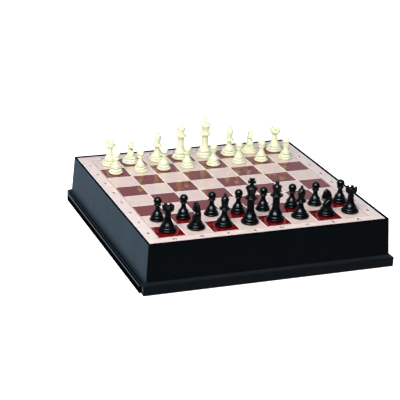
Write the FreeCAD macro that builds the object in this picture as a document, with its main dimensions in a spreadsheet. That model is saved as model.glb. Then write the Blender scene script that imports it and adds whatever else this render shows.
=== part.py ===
"""Electronic chess computer: a square plastic case with a printed playing board let into its top, thirty-two
chessmen, a slim control tray that slides out of the left side, and the electronics inside.

Millimetres, +Z up. The origin is on the floor under the middle of the case. The black men stand on the -Y side.
"""

import FreeCAD, Part
import math
import os
import Sketcher
from FreeCAD import Placement, Rotation, Vector

SQUARES_ACROSS = 8

# Every size of the object that is set by itself, in millimetres.
DRIVING = {
    # Playing board
    "square_size": 38.0,
    "margin_width": 19.0,
    "panel_thickness": 1.6,
    "panel_clearance": 0.25,
    "membrane_thickness": 0.5,
    # Case shell
    "case_height": 67.8,
    "rim_width": 1.8,
    "rim_lip": 0.6,
    "wall_thickness": 2.5,
    "deck_thickness": 2.4,
    "wall_flare": 3.1,
    "ledge_depth": 5.5,
    "ledge_height": 3.3,
    "lip_height": 2.3,
    "groove_height": 1.6,
    "groove_depth": 0.8,
    "bead_height": 2.1,
    "corner_post": 12.0,
    "corner_radius": 1.6,
    "nick_width": 5.0,
    "nick_depth": 1.0,
    # Screw posts, bottom cover and feet
    "post_diameter": 8.0,
    "post_inset": 9.0,
    "cover_thickness": 1.6,
    "cover_clearance": 0.3,
    "screw_diameter": 2.9,
    "screw_hole": 3.3,
    "screw_length": 11.0,
    "screw_head_diameter": 5.6,
    "screw_head_height": 0.8,
    "foot_height": 1.2,
    "foot_diameter": 16.0,
    "foot_inset": 26.0,
    # Main circuit board
    "board_length": 110.0,
    "board_width": 80.0,
    "board_thickness": 1.6,
    "board_standoff": 6.0,
    "standoff_diameter": 7.0,
    "standoff_inset": 5.0,
    "board_gap": 22.0,
    "board_offset": 66.0,
    "board_screw_length": 6.0,
    "chip_height": 4.0,
    "chip_width": 13.7,
    "processor_length": 52.0,
    "memory_length": 36.0,
    "capacitor_diameter": 10.0,
    "capacitor_height": 14.0,
    "connector_depth": 6.0,
    "connector_height": 5.0,
    "connector_wall": 2.0,
    "tail_width": 30.0,
    "tail_thickness": 0.3,
    "tail_slot": 1.5,
    # Loudspeaker
    "speaker_diameter": 57.0,
    "speaker_flange": 4.5,
    "speaker_flange_height": 1.5,
    "speaker_magnet_diameter": 30.0,
    "speaker_depth": 20.0,
    "speaker_offset_x": 116.0,
    "speaker_offset_y": 100.0,
    "grille_slot": 3.0,
    # Batteries
    "cell_diameter": 14.2,
    "cell_length": 49.0,
    "cell_pitch": 15.0,
    "cell_clearance": 0.3,
    "nub_diameter": 5.5,
    "nub_height": 1.2,
    "contact_thickness": 0.5,
    "contact_width": 9.0,
    "spring_diameter": 7.0,
    "spring_length": 4.0,
    "bay_wall": 2.4,
    "bay_offset_x": 40.0,
    "bay_offset_y": 100.0,
    "door_ledge": 1.2,
    "door_clearance": 0.3,
    "door_pull": 12.0,
    "door_pull_depth": 0.8,
    # Control tray
    "tray_setback": 2.5,
    "tray_depth": 92.0,
    "tray_clearance": 0.2,
    "tray_wall": 1.6,
    "tray_floor": 1.0,
    "tray_ledge": 1.5,
    "tray_pull_width": 40.0,
    "tray_pull_depth": 1.6,
    "tray_travel": 58.0,
    "tray_stop": 8.0,
    "rail_thickness": 3.0,
    "rail_lip": 3.5,
    "rail_lip_height": 1.2,
    "keypad_depth": 50.0,
    "tray_board_thickness": 0.8,
    "mat_thickness": 0.5,
    "keypad_clearance": 0.2,
    "key_travel": 0.5,
    "key_rest_gap": 0.1,
    "key_flange": 1.0,
    "key_flange_height": 0.6,
    "key_length": 16.0,
    "key_width": 10.0,
    "key_pitch": 26.0,
    "key_first": 52.0,
    "key_proud": 0.5,
    "key_clearance": 0.2,
    "control_panel_thickness": 0.8,
    "display_length": 62.0,
    "display_width": 24.0,
    "switch_offset": 144.0,
    "switch_length": 5.0,
    "switch_width": 4.0,
    "switch_travel": 4.0,
    "ribbon_width": 20.0,
    "ribbon_thickness": 0.3,
    "ribbon_end": 8.0,
    "ribbon_loop": 40.0,
    # Chessmen: the foot that the officers share, and its taller dome and ring under the king and queen
    "officer_base": 24.6,
    "officer_tier": 16.0,
    "officer_disc": 3.6,
    "officer_dome": 4.2,
    "officer_ring": 2.0,
    "royal_dome": 4.8,
    "royal_ring": 2.4,
    "foot_edge": 0.8,
    "foot_undercut": 0.6,
    # King
    "king_stem_height": 22.6,
    "king_stem_foot": 15.6,
    "king_stem": 10.1,
    "king_collar": 17.4,
    "king_collar_height": 2.4,
    "king_ring": 14.6,
    "king_ring_height": 2.4,
    "king_crown": 16.1,
    "king_crown_waist": 11.3,
    "king_crown_neck": 5.6,
    "king_crown_height": 11.6,
    "king_crown_rim": 0.8,
    "king_dome_height": 3.0,
    "king_cross_height": 9.8,
    "king_cross_span": 10.4,
    "king_cross_bar": 3.2,
    "king_cross_waist": 3.4,
    "king_cross_foot": 4.4,
    "king_cross_top": 7.2,
    "king_cross_thickness": 2.8,
    # Queen
    "queen_stem_height": 22.6,
    "queen_stem_foot": 15.4,
    "queen_stem": 10.1,
    "queen_collar": 17.8,
    "queen_collar_height": 2.4,
    "queen_ring": 13.2,
    "queen_ring_height": 2.0,
    "queen_coronet": 13.4,
    "queen_coronet_waist": 10.8,
    "queen_coronet_height": 9.4,
    "queen_rim_height": 1.6,
    "queen_rim_wall": 1.2,
    "queen_notch": 3.0,
    "queen_dome_height": 5.2,
    "queen_ball": 5.4,
    "queen_ball_neck": 2.6,
    # Bishop
    "bishop_stem_height": 12.6,
    "bishop_stem_foot": 12.8,
    "bishop_stem": 7.2,
    "bishop_collar": 15.2,
    "bishop_collar_height": 2.2,
    "bishop_ring": 12.2,
    "bishop_ring_height": 1.6,
    "bishop_mitre": 10.9,
    "bishop_mitre_foot": 8.0,
    "bishop_mitre_lower": 9.8,
    "bishop_mitre_upper": 6.0,
    "bishop_ball": 4.2,
    "bishop_ball_neck": 2.4,
    "bishop_slit": 0.9,
    "bishop_slit_depth": 3.6,
    # Rook
    "rook_stem_height": 17.2,
    "rook_stem_foot": 14.4,
    "rook_stem": 8.4,
    "rook_neck": 10.4,
    "rook_flare_height": 3.2,
    "rook_crown": 16.2,
    "rook_crown_height": 6.2,
    "rook_crown_wall": 2.5,
    "rook_well_depth": 3.8,
    "rook_crenel": 3.0,
    "rook_crenel_depth": 2.8,
    # Knight
    "knight_head_height": 27.8,
    "knight_muzzle_reach": 8.8,
    "knight_mane_reach": 7.2,
    "knight_neck_thickness": 9.8,
    "knight_head_thickness": 7.0,
    # Pawn
    "pawn_base": 20.6,
    "pawn_tier": 13.0,
    "pawn_disc": 3.2,
    "pawn_dome": 4.2,
    "pawn_ring": 2.4,
    "pawn_stem_height": 10.8,
    "pawn_stem_foot": 11.2,
    "pawn_stem": 6.2,
    "pawn_collar": 9.8,
    "pawn_collar_height": 2.0,
    "pawn_ball": 10.6,
    "pawn_ball_neck": 8.0,
    "pawn_neck_height": 1.5,
}

doc = FreeCAD.newDocument("ChessComputer")
sheet = doc.addObject("Spreadsheet::Sheet", "Dimensions")
for row, (alias, number) in enumerate(DRIVING.items(), 1):
    sheet.set(f"A{row}", alias)
    sheet.set(f"B{row}", str(number))
    sheet.setAlias(f"B{row}", alias)
doc.recompute()


class Size:
    """A length in millimetres together with the sheet expression that gives it."""

    def __init__(self, value, text):
        self.value = value
        self.text = text

    def __add__(self, other):
        other = as_size(other)
        return Size(self.value + other.value, f"({self.text} + {other.text})")

    def __sub__(self, other):
        other = as_size(other)
        return Size(self.value - other.value, f"({self.text} - {other.text})")

    def __mul__(self, factor):
        return Size(self.value * factor, f"({self.text} * {factor})")

    def __truediv__(self, divisor):
        return Size(self.value / divisor, f"({self.text} / {divisor})")

    def __neg__(self):
        return Size(-self.value, f"(0 - {self.text})")

    __radd__ = __add__
    __rmul__ = __mul__


def as_size(number):
    return number if isinstance(number, Size) else Size(float(number), f"({float(number)})")


def hypotenuse_side(long_side, short_side):
    """The other short side of a right triangle."""
    value = math.sqrt(long_side.value**2 - short_side.value**2)
    return Size(value, f"sqrt({long_side.text}^2 - {short_side.text}^2)")


class Sizes:
    """Reads each driving size of the sheet by its name."""

    def __getattr__(self, alias):
        return Size(float(sheet.get(alias)), f"Dimensions.{alias}")


d = Sizes()
ZERO = as_size(0)


def bind(thing, **properties):
    """Ties properties of a document object to sizes of the sheet."""
    for name, length in properties.items():
        thing.setExpression(name, as_size(length).text)


def place(thing, x=ZERO, y=ZERO, z=ZERO, rotation=None):
    """Ties an object's place to sizes of the sheet, after an optional turn."""
    if rotation is not None:
        thing.Placement = Placement(Vector(), rotation)
    for axis, length in zip("xyz", (x, y, z)):
        thing.setExpression(f"Placement.Base.{axis}", as_size(length).text)
    return thing


def block(name, centre, span):
    """A box from the middle of its underside and its three edge lengths."""
    box = doc.addObject("Part::Box", name)
    bind(box, Length=span[0], Width=span[1], Height=span[2])
    return place(box, centre[0] - as_size(span[0]) / 2, centre[1] - as_size(span[1]) / 2, centre[2])


ALONG_X = Rotation(Vector(0, 1, 0), 90)
UPRIGHT = Rotation(Vector(1, 0, 0), 90)


def rod(name, foot, diameter, length, rotation=None):
    """A cylinder from the middle of its foot, along +Z unless it is turned."""
    cylinder = doc.addObject("Part::Cylinder", name)
    bind(cylinder, Radius=diameter / 2, Height=length)
    return place(cylinder, *foot, rotation=rotation)


def fuse(name, *solids):
    joined = doc.addObject("Part::MultiFuse", name)
    joined.Shapes = list(solids)
    joined.Refine = True
    return joined


def cut(name, base, *tools):
    trimmed = doc.addObject("Part::Cut", name)
    trimmed.Base = base
    trimmed.Tool = tools[0] if len(tools) == 1 else fuse(f"{name}_tools", *tools)
    trimmed.Refine = True
    return trimmed


def group(name, *solids):
    """Separate solids that share one node."""
    gathered = doc.addObject("Part::Compound", name)
    gathered.Links = list(solids)
    return gathered


sub_parts = []


def sub_part(thing, label):
    thing.Label = label
    sub_parts.append(thing)
    return thing


# Sketched outlines

ROUND_CORNER = math.tan(math.radians(90) / 4)
HALF_CIRCLE = 1.0
ORIGIN, H_AXIS, V_AXIS = (-1, 1), -1, -2
START, END, CENTRE = 1, 2, 3


def draw_outline(sketch, corners):
    """Draws a closed outline whose corners are tied to the sheet.

    A corner is (across, up) or (across, up, bulge). The bulge is the tangent of a quarter of the angle of the arc
    that leads to the next corner: positive turns left, and without one the side is straight.
    """
    corners = [(as_size(c[0]), as_size(c[1]), c[2] if len(c) > 2 else 0.0) for c in corners]
    ends = []
    constraints = []
    expressions = []

    def fix(kind, text, *about):
        expressions.append((len(constraints), text))
        constraints.append(Sketcher.Constraint(kind, *about))

    for side, (x, y, bulge) in enumerate(corners):
        next_x, next_y, _ = corners[(side + 1) % len(corners)]
        first = Vector(x.value, y.value, 0)
        last = Vector(next_x.value, next_y.value, 0)
        if not bulge:
            sketch.addGeometry(Part.LineSegment(first, last))
            ends.append((START, END))
            continue
        chord = last - first
        crest = (first + last) / 2 + Vector(chord.y, -chord.x, 0) * (bulge / 2)
        sketch.addGeometry(Part.Arc(first, crest, last))
        ends.append((START, END) if bulge > 0 else (END, START))
        if abs(bulge) == HALF_CIRCLE:
            constraints.append(Sketcher.Constraint("Symmetric", side, START, side, END, side, CENTRE))
            continue
        run = f"({next_x.text} - {x.text})^2 + ({next_y.text} - {y.text})^2"
        stretch = (1 + bulge**2) / (4 * abs(bulge))
        fix("Radius", f"sqrt({run}) * {stretch}", side, chord.Length * stretch)
    for side, (x, y, _) in enumerate(corners):
        following = (side + 1) % len(corners)
        constraints.append(
            Sketcher.Constraint("Coincident", side, ends[side][1], following, ends[following][0])
        )
        corner = (side, ends[side][0])
        if x is ZERO:
            constraints.append(Sketcher.Constraint("PointOnObject", *corner, V_AXIS))
        else:
            fix("DistanceX", x.text, *ORIGIN, *corner, x.value)
        if y is ZERO:
            constraints.append(Sketcher.Constraint("PointOnObject", *corner, H_AXIS))
        else:
            fix("DistanceY", y.text, *ORIGIN, *corner, y.value)
    numbers = sketch.addConstraint(constraints)
    for index, text in expressions:
        sketch.renameConstraint(numbers[index], f"size{index}")
        sketch.setExpression(f"Constraints.size{index}", text)


def body_sketch(body, name, role, corners):
    """A sketch of one closed outline on one of the body's own origin planes."""
    sketch = body.newObject("Sketcher::SketchObject", name)
    sketch.AttachmentSupport = (origin_feature(body, role), [""])
    sketch.MapMode = "FlatFace"
    draw_outline(sketch, corners)
    return sketch


def origin_feature(body, role):
    return next(feature for feature in body.Origin.OriginFeatures if feature.Role == role)


def turned_body(name, corners):
    """A body turned on a lathe: its half outline revolved about +Z."""
    body = doc.addObject("PartDesign::Body", name)
    add_turning(body, f"{name}_turning", corners)
    return body


def add_turning(body, name, corners):
    """Adds a half outline revolved about +Z to a body."""
    sketch = body_sketch(body, f"{name}_outline", "XZ_Plane", corners)
    turning = body.newObject("PartDesign::Revolution", name)
    turning.Profile = sketch
    turning.ReferenceAxis = (sketch, ["V_Axis"])
    turning.Angle = 360


def cross_cut(body, name, corners, copies=1, step=0):
    """Cuts an outline of the XZ plane right through a turned body, repeated about its axis."""
    doc.recompute()
    before = body.Shape.Volume
    sketch = body_sketch(body, f"{name}_outline", "XZ_Plane", corners)
    pocket = body.newObject("PartDesign::Pocket", name)
    pocket.Profile = sketch
    pocket.Type = "ThroughAll"
    pocket.Midplane = True
    if copies > 1:
        pattern = body.newObject("PartDesign::PolarPattern", f"{name}_pattern")
        pattern.Originals = [pocket]
        pattern.Axis = (origin_feature(body, "Z_Axis"), [""])
        pattern.Angle = step * (copies - 1)
        pattern.Occurrences = copies
        body.Tip = pattern
    doc.recompute()
    if body.Shape.Volume >= before:
        raise RuntimeError(f"{name} cut nothing")


def upright_prism(name, corners, width):
    """An outline of the XZ plane padded equally to both sides of it."""
    body = doc.addObject("PartDesign::Body", name)
    pad = body.newObject("PartDesign::Pad", f"{name}_pad")
    pad.Profile = body_sketch(body, f"{name}_outline", "XZ_Plane", corners)
    pad.Midplane = True
    bind(pad, Length=width)
    return body


def square_tower(name, levels, radius):
    """A solid that is square in plan with round corners, straight from level to level.

    A level is (half width, height), from the bottom up.
    """
    body = doc.addObject("PartDesign::Body", name)
    sections = []
    for number, (half, height) in enumerate(levels):
        flat = half - radius
        section = body_sketch(
            body,
            f"{name}_level_{number}",
            "XY_Plane",
            [
                (flat, -half, ROUND_CORNER),
                (half, -flat),
                (half, flat, ROUND_CORNER),
                (flat, half),
                (-flat, half, ROUND_CORNER),
                (-half, flat),
                (-half, -flat, ROUND_CORNER),
                (-flat, -half),
            ],
        )
        section.setExpression("AttachmentOffset.Base.z", height.text)
        sections.append(section)
    loft = body.newObject("PartDesign::AdditiveLoft", f"{name}_loft")
    loft.Profile = sections[0]
    loft.Sections = sections[1:]
    loft.Ruled = True
    return body


# Main levels and widths, from the driving sizes

panel_width = d.square_size * SQUARES_ACROSS + d.margin_width * 2
recess_width = panel_width + d.panel_clearance * 2
case_top_half = recess_width / 2 + d.rim_width
wall_foot_half = case_top_half + d.wall_flare
plinth_half = wall_foot_half + d.ledge_depth
cavity_half = case_top_half - d.wall_thickness

cover_bottom = d.foot_height
cover_top = cover_bottom + d.cover_thickness

tray_bottom = cover_top + d.tray_clearance
tray_board_bottom = tray_bottom + d.tray_floor
mat_bottom = tray_board_bottom + d.tray_board_thickness
mat_top = mat_bottom + d.mat_thickness
key_bottom = mat_top + d.key_travel + d.key_rest_gap
key_flange_top = key_bottom + d.key_flange_height
control_panel_bottom = key_flange_top + d.key_rest_gap
control_panel_top = control_panel_bottom + d.control_panel_thickness
key_top = control_panel_top + d.key_proud
tray_top = key_top + d.key_rest_gap
slot_top = tray_top + d.tray_clearance

plinth_top = slot_top + d.bead_height + d.groove_height + d.lip_height
ledge_top = plinth_top + d.ledge_height
recess_floor = d.case_height - d.panel_thickness - d.membrane_thickness
deck_bottom = recess_floor - d.deck_thickness

slot_half = plinth_half - d.corner_post
tray_half = slot_half - d.tray_clearance
tray_front = -plinth_half + d.tray_setback
tray_rear = tray_front + d.tray_depth

post_x_left = tray_rear + d.post_diameter
post_x_right = cavity_half - d.post_inset
post_y = cavity_half - d.post_inset
post_places = [(x, y) for x in (post_x_left, post_x_right) for y in (-post_y, ZERO, post_y)]

board_left = tray_rear + d.board_gap
board_x = board_left + d.board_length / 2
board_y = d.board_offset
board_bottom = cover_top + d.board_standoff
board_top = board_bottom + d.board_thickness
tail_x = board_left + d.board_length - d.connector_depth
standoff_places = [
    (
        board_x + (d.board_length / 2 - d.standoff_inset) * sx,
        board_y + (d.board_width / 2 - d.standoff_inset) * sy,
    )
    for sx in (-1, 1)
    for sy in (-1, 1)
]

CELLS = 4
bay_x = d.bay_offset_x
bay_y = -d.bay_offset_y
bay_length = d.cell_length + d.nub_height + d.spring_length + d.contact_thickness * 2
bay_width = d.cell_pitch * CELLS
bay_height = d.cell_diameter + d.cell_clearance * 2
speaker_x = d.speaker_offset_x
speaker_y = -d.speaker_offset_y

THROUGH = 1.0


# Case shell: one moulding with tapered walls, a sloped ledge, a plinth, a top deck and screw posts

case_outside = square_tower(
    "case_outside",
    [
        (plinth_half, cover_bottom),
        (plinth_half, plinth_top),
        (wall_foot_half, ledge_top),
        (case_top_half, d.case_height + d.rim_lip),
    ],
    d.corner_radius,
)
case_cavity = square_tower(
    "case_cavity",
    [
        (plinth_half - d.wall_thickness, cover_bottom - THROUGH),
        (plinth_half - d.wall_thickness, plinth_top - d.wall_thickness / 2),
        (wall_foot_half - d.wall_thickness, ledge_top - d.wall_thickness / 2),
        (cavity_half, deck_bottom),
    ],
    d.corner_radius / 2,
)
panel_recess = block(
    "panel_recess", (ZERO, ZERO, recess_floor), (recess_width, recess_width, d.panel_thickness * 2)
)
tray_slot = block(
    "tray_slot",
    (-plinth_half, ZERO, cover_top),
    (d.wall_thickness * 2 + THROUGH, slot_half * 2, slot_top - cover_top),
)
lip_groove = block(
    "lip_groove",
    (-plinth_half, ZERO, slot_top + d.bead_height),
    (d.groove_depth * 2, slot_half * 2, d.groove_height),
)
ledge_nick = block(
    "ledge_nick",
    (ZERO, -plinth_half, plinth_top - d.nick_depth),
    (d.nick_width, d.nick_depth * 2, d.nick_depth * 2),
)
tail_slit = block(
    "tail_slit",
    (tail_x, board_y, deck_bottom - THROUGH),
    (d.tail_slot, d.tail_width + d.tail_slot, d.deck_thickness + THROUGH * 2),
)
case_hollow = cut(
    "case_hollow", case_outside, case_cavity, panel_recess, tray_slot, lip_groove, ledge_nick, tail_slit
)
posts = [
    rod(f"post_{n}", (x, y, cover_top), d.post_diameter, deck_bottom - cover_top + d.deck_thickness / 2)
    for n, (x, y) in enumerate(post_places)
]
pilots = [
    rod(f"pilot_{n}", (x, y, cover_bottom), d.screw_diameter, d.screw_length + THROUGH)
    for n, (x, y) in enumerate(post_places)
]
sub_part(cut("case_drilled", fuse("case_with_posts", case_hollow, *posts), *pilots), "case_shell")


# Playing board: the printed panel, the pressure membrane under it and the membrane's flat tail

sub_part(
    block("membrane", (ZERO, ZERO, recess_floor), (panel_width, panel_width, d.membrane_thickness)),
    "sensor_membrane",
)
sub_part(
    block(
        "panel",
        (ZERO, ZERO, recess_floor + d.membrane_thickness),
        (panel_width, panel_width, d.panel_thickness),
    ),
    "board_panel",
)
connector_top = board_top + d.connector_height
sub_part(
    block(
        "tail",
        (tail_x, board_y, connector_top),
        (d.tail_thickness, d.tail_width, recess_floor - connector_top),
    ),
    "sensor_tail",
)


# Bottom cover: a plate with a battery bay, board standoffs, screw holes and loudspeaker slots

cover_width = (plinth_half - d.wall_thickness - d.cover_clearance) * 2
cover_plate = block("cover_plate", (ZERO, ZERO, cover_bottom), (cover_width, cover_width, d.cover_thickness))
bay_box = block(
    "bay_box",
    (bay_x, bay_y, cover_bottom + d.cover_thickness / 2),
    (
        bay_length + d.bay_wall * 2,
        bay_width + d.bay_wall * 2,
        bay_height + d.bay_wall + d.cover_thickness / 2,
    ),
)
bay_room = block(
    "bay_room", (bay_x, bay_y, cover_top - THROUGH), (bay_length, bay_width, bay_height + THROUGH)
)
door_length = bay_length + d.door_ledge * 2
door_width = bay_width + d.door_ledge * 2
bay_mouth = block(
    "bay_mouth",
    (bay_x, bay_y, cover_bottom - THROUGH),
    (door_length, door_width, d.cover_thickness + THROUGH),
)
standoffs = [
    rod(f"standoff_{n}", (x, y, cover_bottom), d.standoff_diameter, board_bottom - cover_bottom)
    for n, (x, y) in enumerate(standoff_places)
]
standoff_pilots = [
    rod(
        f"standoff_pilot_{n}",
        (x, y, board_top - d.board_screw_length),
        d.screw_diameter,
        d.board_screw_length + THROUGH,
    )
    for n, (x, y) in enumerate(standoff_places)
]
cover_holes = [
    rod(f"cover_hole_{n}", (x, y, cover_bottom - THROUGH), d.screw_hole, d.cover_thickness + THROUGH * 2)
    for n, (x, y) in enumerate(post_places)
]
SLOTS = 5
speaker_mouth = d.speaker_diameter - d.speaker_flange * 2
grille_slots = [
    block(
        f"grille_slot_{n}",
        (speaker_x, speaker_y + d.grille_slot * (2 * n + 1 - SLOTS), cover_bottom - THROUGH),
        (speaker_mouth * 0.6, d.grille_slot, d.cover_thickness + THROUGH * 2),
    )
    for n in range(SLOTS)
]
cover_solid = fuse("cover_solid", cover_plate, bay_box, *standoffs)
sub_part(
    cut("cover_cut", cover_solid, bay_room, bay_mouth, *standoff_pilots, *cover_holes, *grille_slots),
    "bottom_cover",
)

foot_x = cavity_half - d.foot_inset
feet = [
    rod(f"foot_{n}", (foot_x * sx, foot_x * sy, ZERO), d.foot_diameter, d.foot_height)
    for n, (sx, sy) in enumerate([(-1, -1), (1, -1), (-1, 1), (1, 1)])
]
sub_part(group("feet", *feet), "rubber_feet")


def screw(name, x, y, head_z, length, head_up):
    """A round-headed screw. head_z is the face of the head that bears on the work."""
    if head_up:
        shank_z, cap_z = head_z - length, head_z
    else:
        shank_z, cap_z = head_z, head_z - d.screw_head_height
    shank = rod(f"{name}_shank", (x, y, shank_z), d.screw_diameter, length)
    cap = rod(f"{name}_cap", (x, y, cap_z), d.screw_head_diameter, d.screw_head_height)
    return fuse(name, shank, cap)


sub_part(
    group(
        "case_fixings",
        *[
            screw(f"cover_screw_{n}", x, y, cover_bottom, d.screw_length, head_up=False)
            for n, (x, y) in enumerate(post_places)
        ],
    ),
    "cover_screws",
)


# Main circuit board with its chips, on the cover's standoffs

board_holes = [
    rod(f"board_hole_{n}", (x, y, board_bottom - THROUGH), d.screw_hole, d.board_thickness + THROUGH * 2)
    for n, (x, y) in enumerate(standoff_places)
]
board_plate = block(
    "board_plate", (board_x, board_y, board_bottom), (d.board_length, d.board_width, d.board_thickness)
)
sub_part(cut("board_drilled", board_plate, *board_holes), "main_circuit_board")
sub_part(
    group(
        "board_fixings",
        *[
            screw(f"board_screw_{n}", x, y, board_top, d.board_screw_length, head_up=True)
            for n, (x, y) in enumerate(standoff_places)
        ],
    ),
    "board_screws",
)
chip_x = board_x - d.connector_depth
processor = block(
    "processor",
    (chip_x, board_y + d.chip_width, board_top),
    (d.processor_length, d.chip_width, d.chip_height),
)
memory = block(
    "memory", (chip_x, board_y - d.chip_width, board_top), (d.memory_length, d.chip_width, d.chip_height)
)
capacitor = rod(
    "capacitor",
    (chip_x - d.memory_length / 2 - d.capacitor_diameter, board_y - d.chip_width, board_top),
    d.capacitor_diameter,
    d.capacitor_height,
)
tail_connector = block(
    "tail_connector",
    (tail_x, board_y, board_top),
    (d.connector_depth, d.tail_width + d.connector_wall * 2, d.connector_height),
)
sub_part(group("chips", processor, memory, capacitor, tail_connector), "circuit_chips")


# Loudspeaker: a pressed basket with its magnet, and the paper cone inside its rim

rim = d.speaker_diameter / 2
mouth = rim - d.speaker_flange
magnet = d.speaker_magnet_diameter / 2
flange_top = d.speaker_flange_height
basket_floor = d.speaker_depth / 2
skin = d.speaker_flange_height / 2
basket = turned_body(
    "basket",
    [
        (mouth, ZERO),
        (rim, ZERO),
        (rim, flange_top),
        (mouth + flange_top, flange_top),
        (magnet, basket_floor + flange_top),
        (magnet, d.speaker_depth),
        (ZERO, d.speaker_depth),
        (ZERO, basket_floor),
        (magnet - flange_top, basket_floor),
        (mouth, skin),
    ],
)
cone = turned_body(
    "paper_cone",
    [
        (mouth - skin, ZERO),
        (mouth, ZERO),
        (mouth, skin / 2),
        (magnet / 2, basket_floor * 0.7),
        (ZERO, basket_floor * 0.8),
        (ZERO, basket_floor * 0.7),
        (magnet / 2, basket_floor * 0.6),
    ],
)
speaker = group("speaker", basket, cone)
place(speaker, speaker_x, speaker_y, cover_top)
sub_part(speaker, "loudspeaker")


# Batteries: four cells side by side between flat contacts and springs, and the door under them

cell_z = cover_top + d.cell_clearance + d.cell_diameter / 2
cells = []
contacts = []
for n in range(CELLS):
    heading = 1 if n % 2 else -1
    cell_y = bay_y + d.cell_pitch * (n - (CELLS - 1) / 2)
    bay_end = bay_length / 2 - d.contact_thickness
    nub_tip = bay_x + bay_end * heading
    can_end = nub_tip - d.nub_height * heading
    can_foot = can_end - d.cell_length * heading
    can_low = can_foot if heading > 0 else can_end
    nub_low = can_end if heading > 0 else nub_tip
    can = rod(f"can_{n}", (can_low, cell_y, cell_z), d.cell_diameter, d.cell_length, ALONG_X)
    nub = rod(f"nub_{n}", (nub_low, cell_y, cell_z), d.nub_diameter, d.nub_height, ALONG_X)
    cells.append(fuse(f"cell_{n}", can, nub))
    plate_z = cell_z - d.contact_width / 2
    spring_foot = bay_x - bay_end * heading
    spring_low = spring_foot if heading > 0 else can_foot
    plate_span = (d.contact_thickness, d.contact_width, d.contact_width)
    plate_middle = bay_end + d.contact_thickness / 2
    contacts.append(block(f"flat_contact_{n}", (bay_x + plate_middle * heading, cell_y, plate_z), plate_span))
    spring_plate = block(f"spring_plate_{n}", (bay_x - plate_middle * heading, cell_y, plate_z), plate_span)
    spring_coil = rod(
        f"spring_coil_{n}", (spring_low, cell_y, cell_z), d.spring_diameter, d.spring_length, ALONG_X
    )
    contacts.append(fuse(f"spring_contact_{n}", spring_plate, spring_coil))
sub_part(group("cells", *cells), "battery_cells")
sub_part(group("contacts", *contacts), "battery_contacts")

door_plate = block(
    "door_plate",
    (bay_x, bay_y, cover_bottom),
    (door_length - d.door_clearance * 2, door_width - d.door_clearance * 2, d.cover_thickness),
)
door_scoop = block(
    "door_scoop",
    (bay_x, bay_y + door_width / 2 - d.door_pull / 2, cover_bottom - THROUGH),
    (d.door_pull * 2, d.door_pull / 2, d.door_pull_depth + THROUGH),
)
sub_part(cut("door_cut", door_plate, door_scoop), "battery_door")


# Control tray: a shallow pan that slides in the left plinth on two rails, with the keypad in its outer half

tray_middle = tray_front + d.tray_depth / 2
tray_height = tray_top - tray_bottom
keypad_half = tray_half - d.rail_lip - d.tray_wall - d.tray_clearance
keypad_x = tray_front + d.tray_wall + d.keypad_depth / 2
tray_block = block("tray_block", (tray_middle, ZERO, tray_bottom), (d.tray_depth, tray_half * 2, tray_height))
tray_pull = block(
    "tray_pull", (tray_front, ZERO, tray_bottom), (d.tray_pull_depth * 2, d.tray_pull_width, tray_height / 2)
)
pan_span = (d.keypad_depth, keypad_half * 2, tray_height)
keypad_well = block(
    "keypad_well",
    (keypad_x, ZERO, tray_board_bottom),
    (d.keypad_depth - d.tray_ledge * 2, (keypad_half - d.tray_ledge) * 2, tray_height),
)
panel_seat = block("panel_seat", (keypad_x, ZERO, control_panel_bottom), pan_span)
rail_relief = [
    block(
        f"rail_relief_{side}",
        (
            tray_middle - d.tray_stop,
            (tray_half - d.rail_lip / 2) * sign,
            tray_top - d.rail_lip_height - d.tray_clearance,
        ),
        (d.tray_depth, d.rail_lip + d.tray_clearance * 2, d.rail_lip_height * 2),
    )
    for side, sign in (("near", -1), ("far", 1))
]
store_depth = d.tray_depth - d.keypad_depth - d.tray_wall * 3
store_well = block(
    "store_well",
    (tray_rear - d.tray_wall - store_depth / 2, ZERO, tray_board_bottom),
    (store_depth, keypad_half * 2, tray_height),
)
tray_solid = fuse("tray_solid", tray_block, tray_pull)
sub_part(cut("tray_cut", tray_solid, keypad_well, panel_seat, store_well, *rail_relief), "control_tray")

# The rails guide the tray's ends. Their lips hold it down, and the full-height rear ends of the tray stop
# on them.
rail_length = d.tray_depth - d.tray_setback
rail_front = tray_rear - rail_length
lip_length = rail_length - d.tray_stop - d.tray_travel - d.tray_clearance
rails = []
for side, sign in (("near", -1), ("far", 1)):
    web = block(
        f"rail_web_{side}",
        (rail_front + rail_length / 2, (slot_half + d.rail_thickness / 2) * sign, cover_top),
        (rail_length, d.rail_thickness, tray_top - cover_top),
    )
    lip_middle = slot_half + d.rail_thickness / 2 - d.rail_lip / 2
    lip = block(
        f"rail_lip_{side}",
        (rail_front + lip_length / 2, lip_middle * sign, tray_top - d.rail_lip_height),
        (lip_length, d.rail_lip + d.rail_thickness, d.rail_lip_height),
    )
    rails.append(fuse(f"rail_{side}", web, lip))
sub_part(group("rails", *rails), "tray_rails")

well_depth = d.keypad_depth - (d.tray_ledge + d.keypad_clearance) * 2
well_half = keypad_half - d.tray_ledge - d.keypad_clearance
sub_part(
    block(
        "tray_board",
        (keypad_x, ZERO, tray_board_bottom),
        (well_depth, well_half * 2, d.tray_board_thickness),
    ),
    "tray_circuit_board",
)

KEY_NAMES = ("new_game_key", "level_key", "sound_key", "take_back_key", "hint_key", "move_key")
per_side = len(KEY_NAMES) // 2
key_places = [-(d.key_first + d.key_pitch * n) for n in reversed(range(per_side))]
key_places += [d.key_first + d.key_pitch * n for n in range(per_side)]
switch_y = -d.switch_offset
switch_reach = d.switch_length + d.switch_travel

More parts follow.
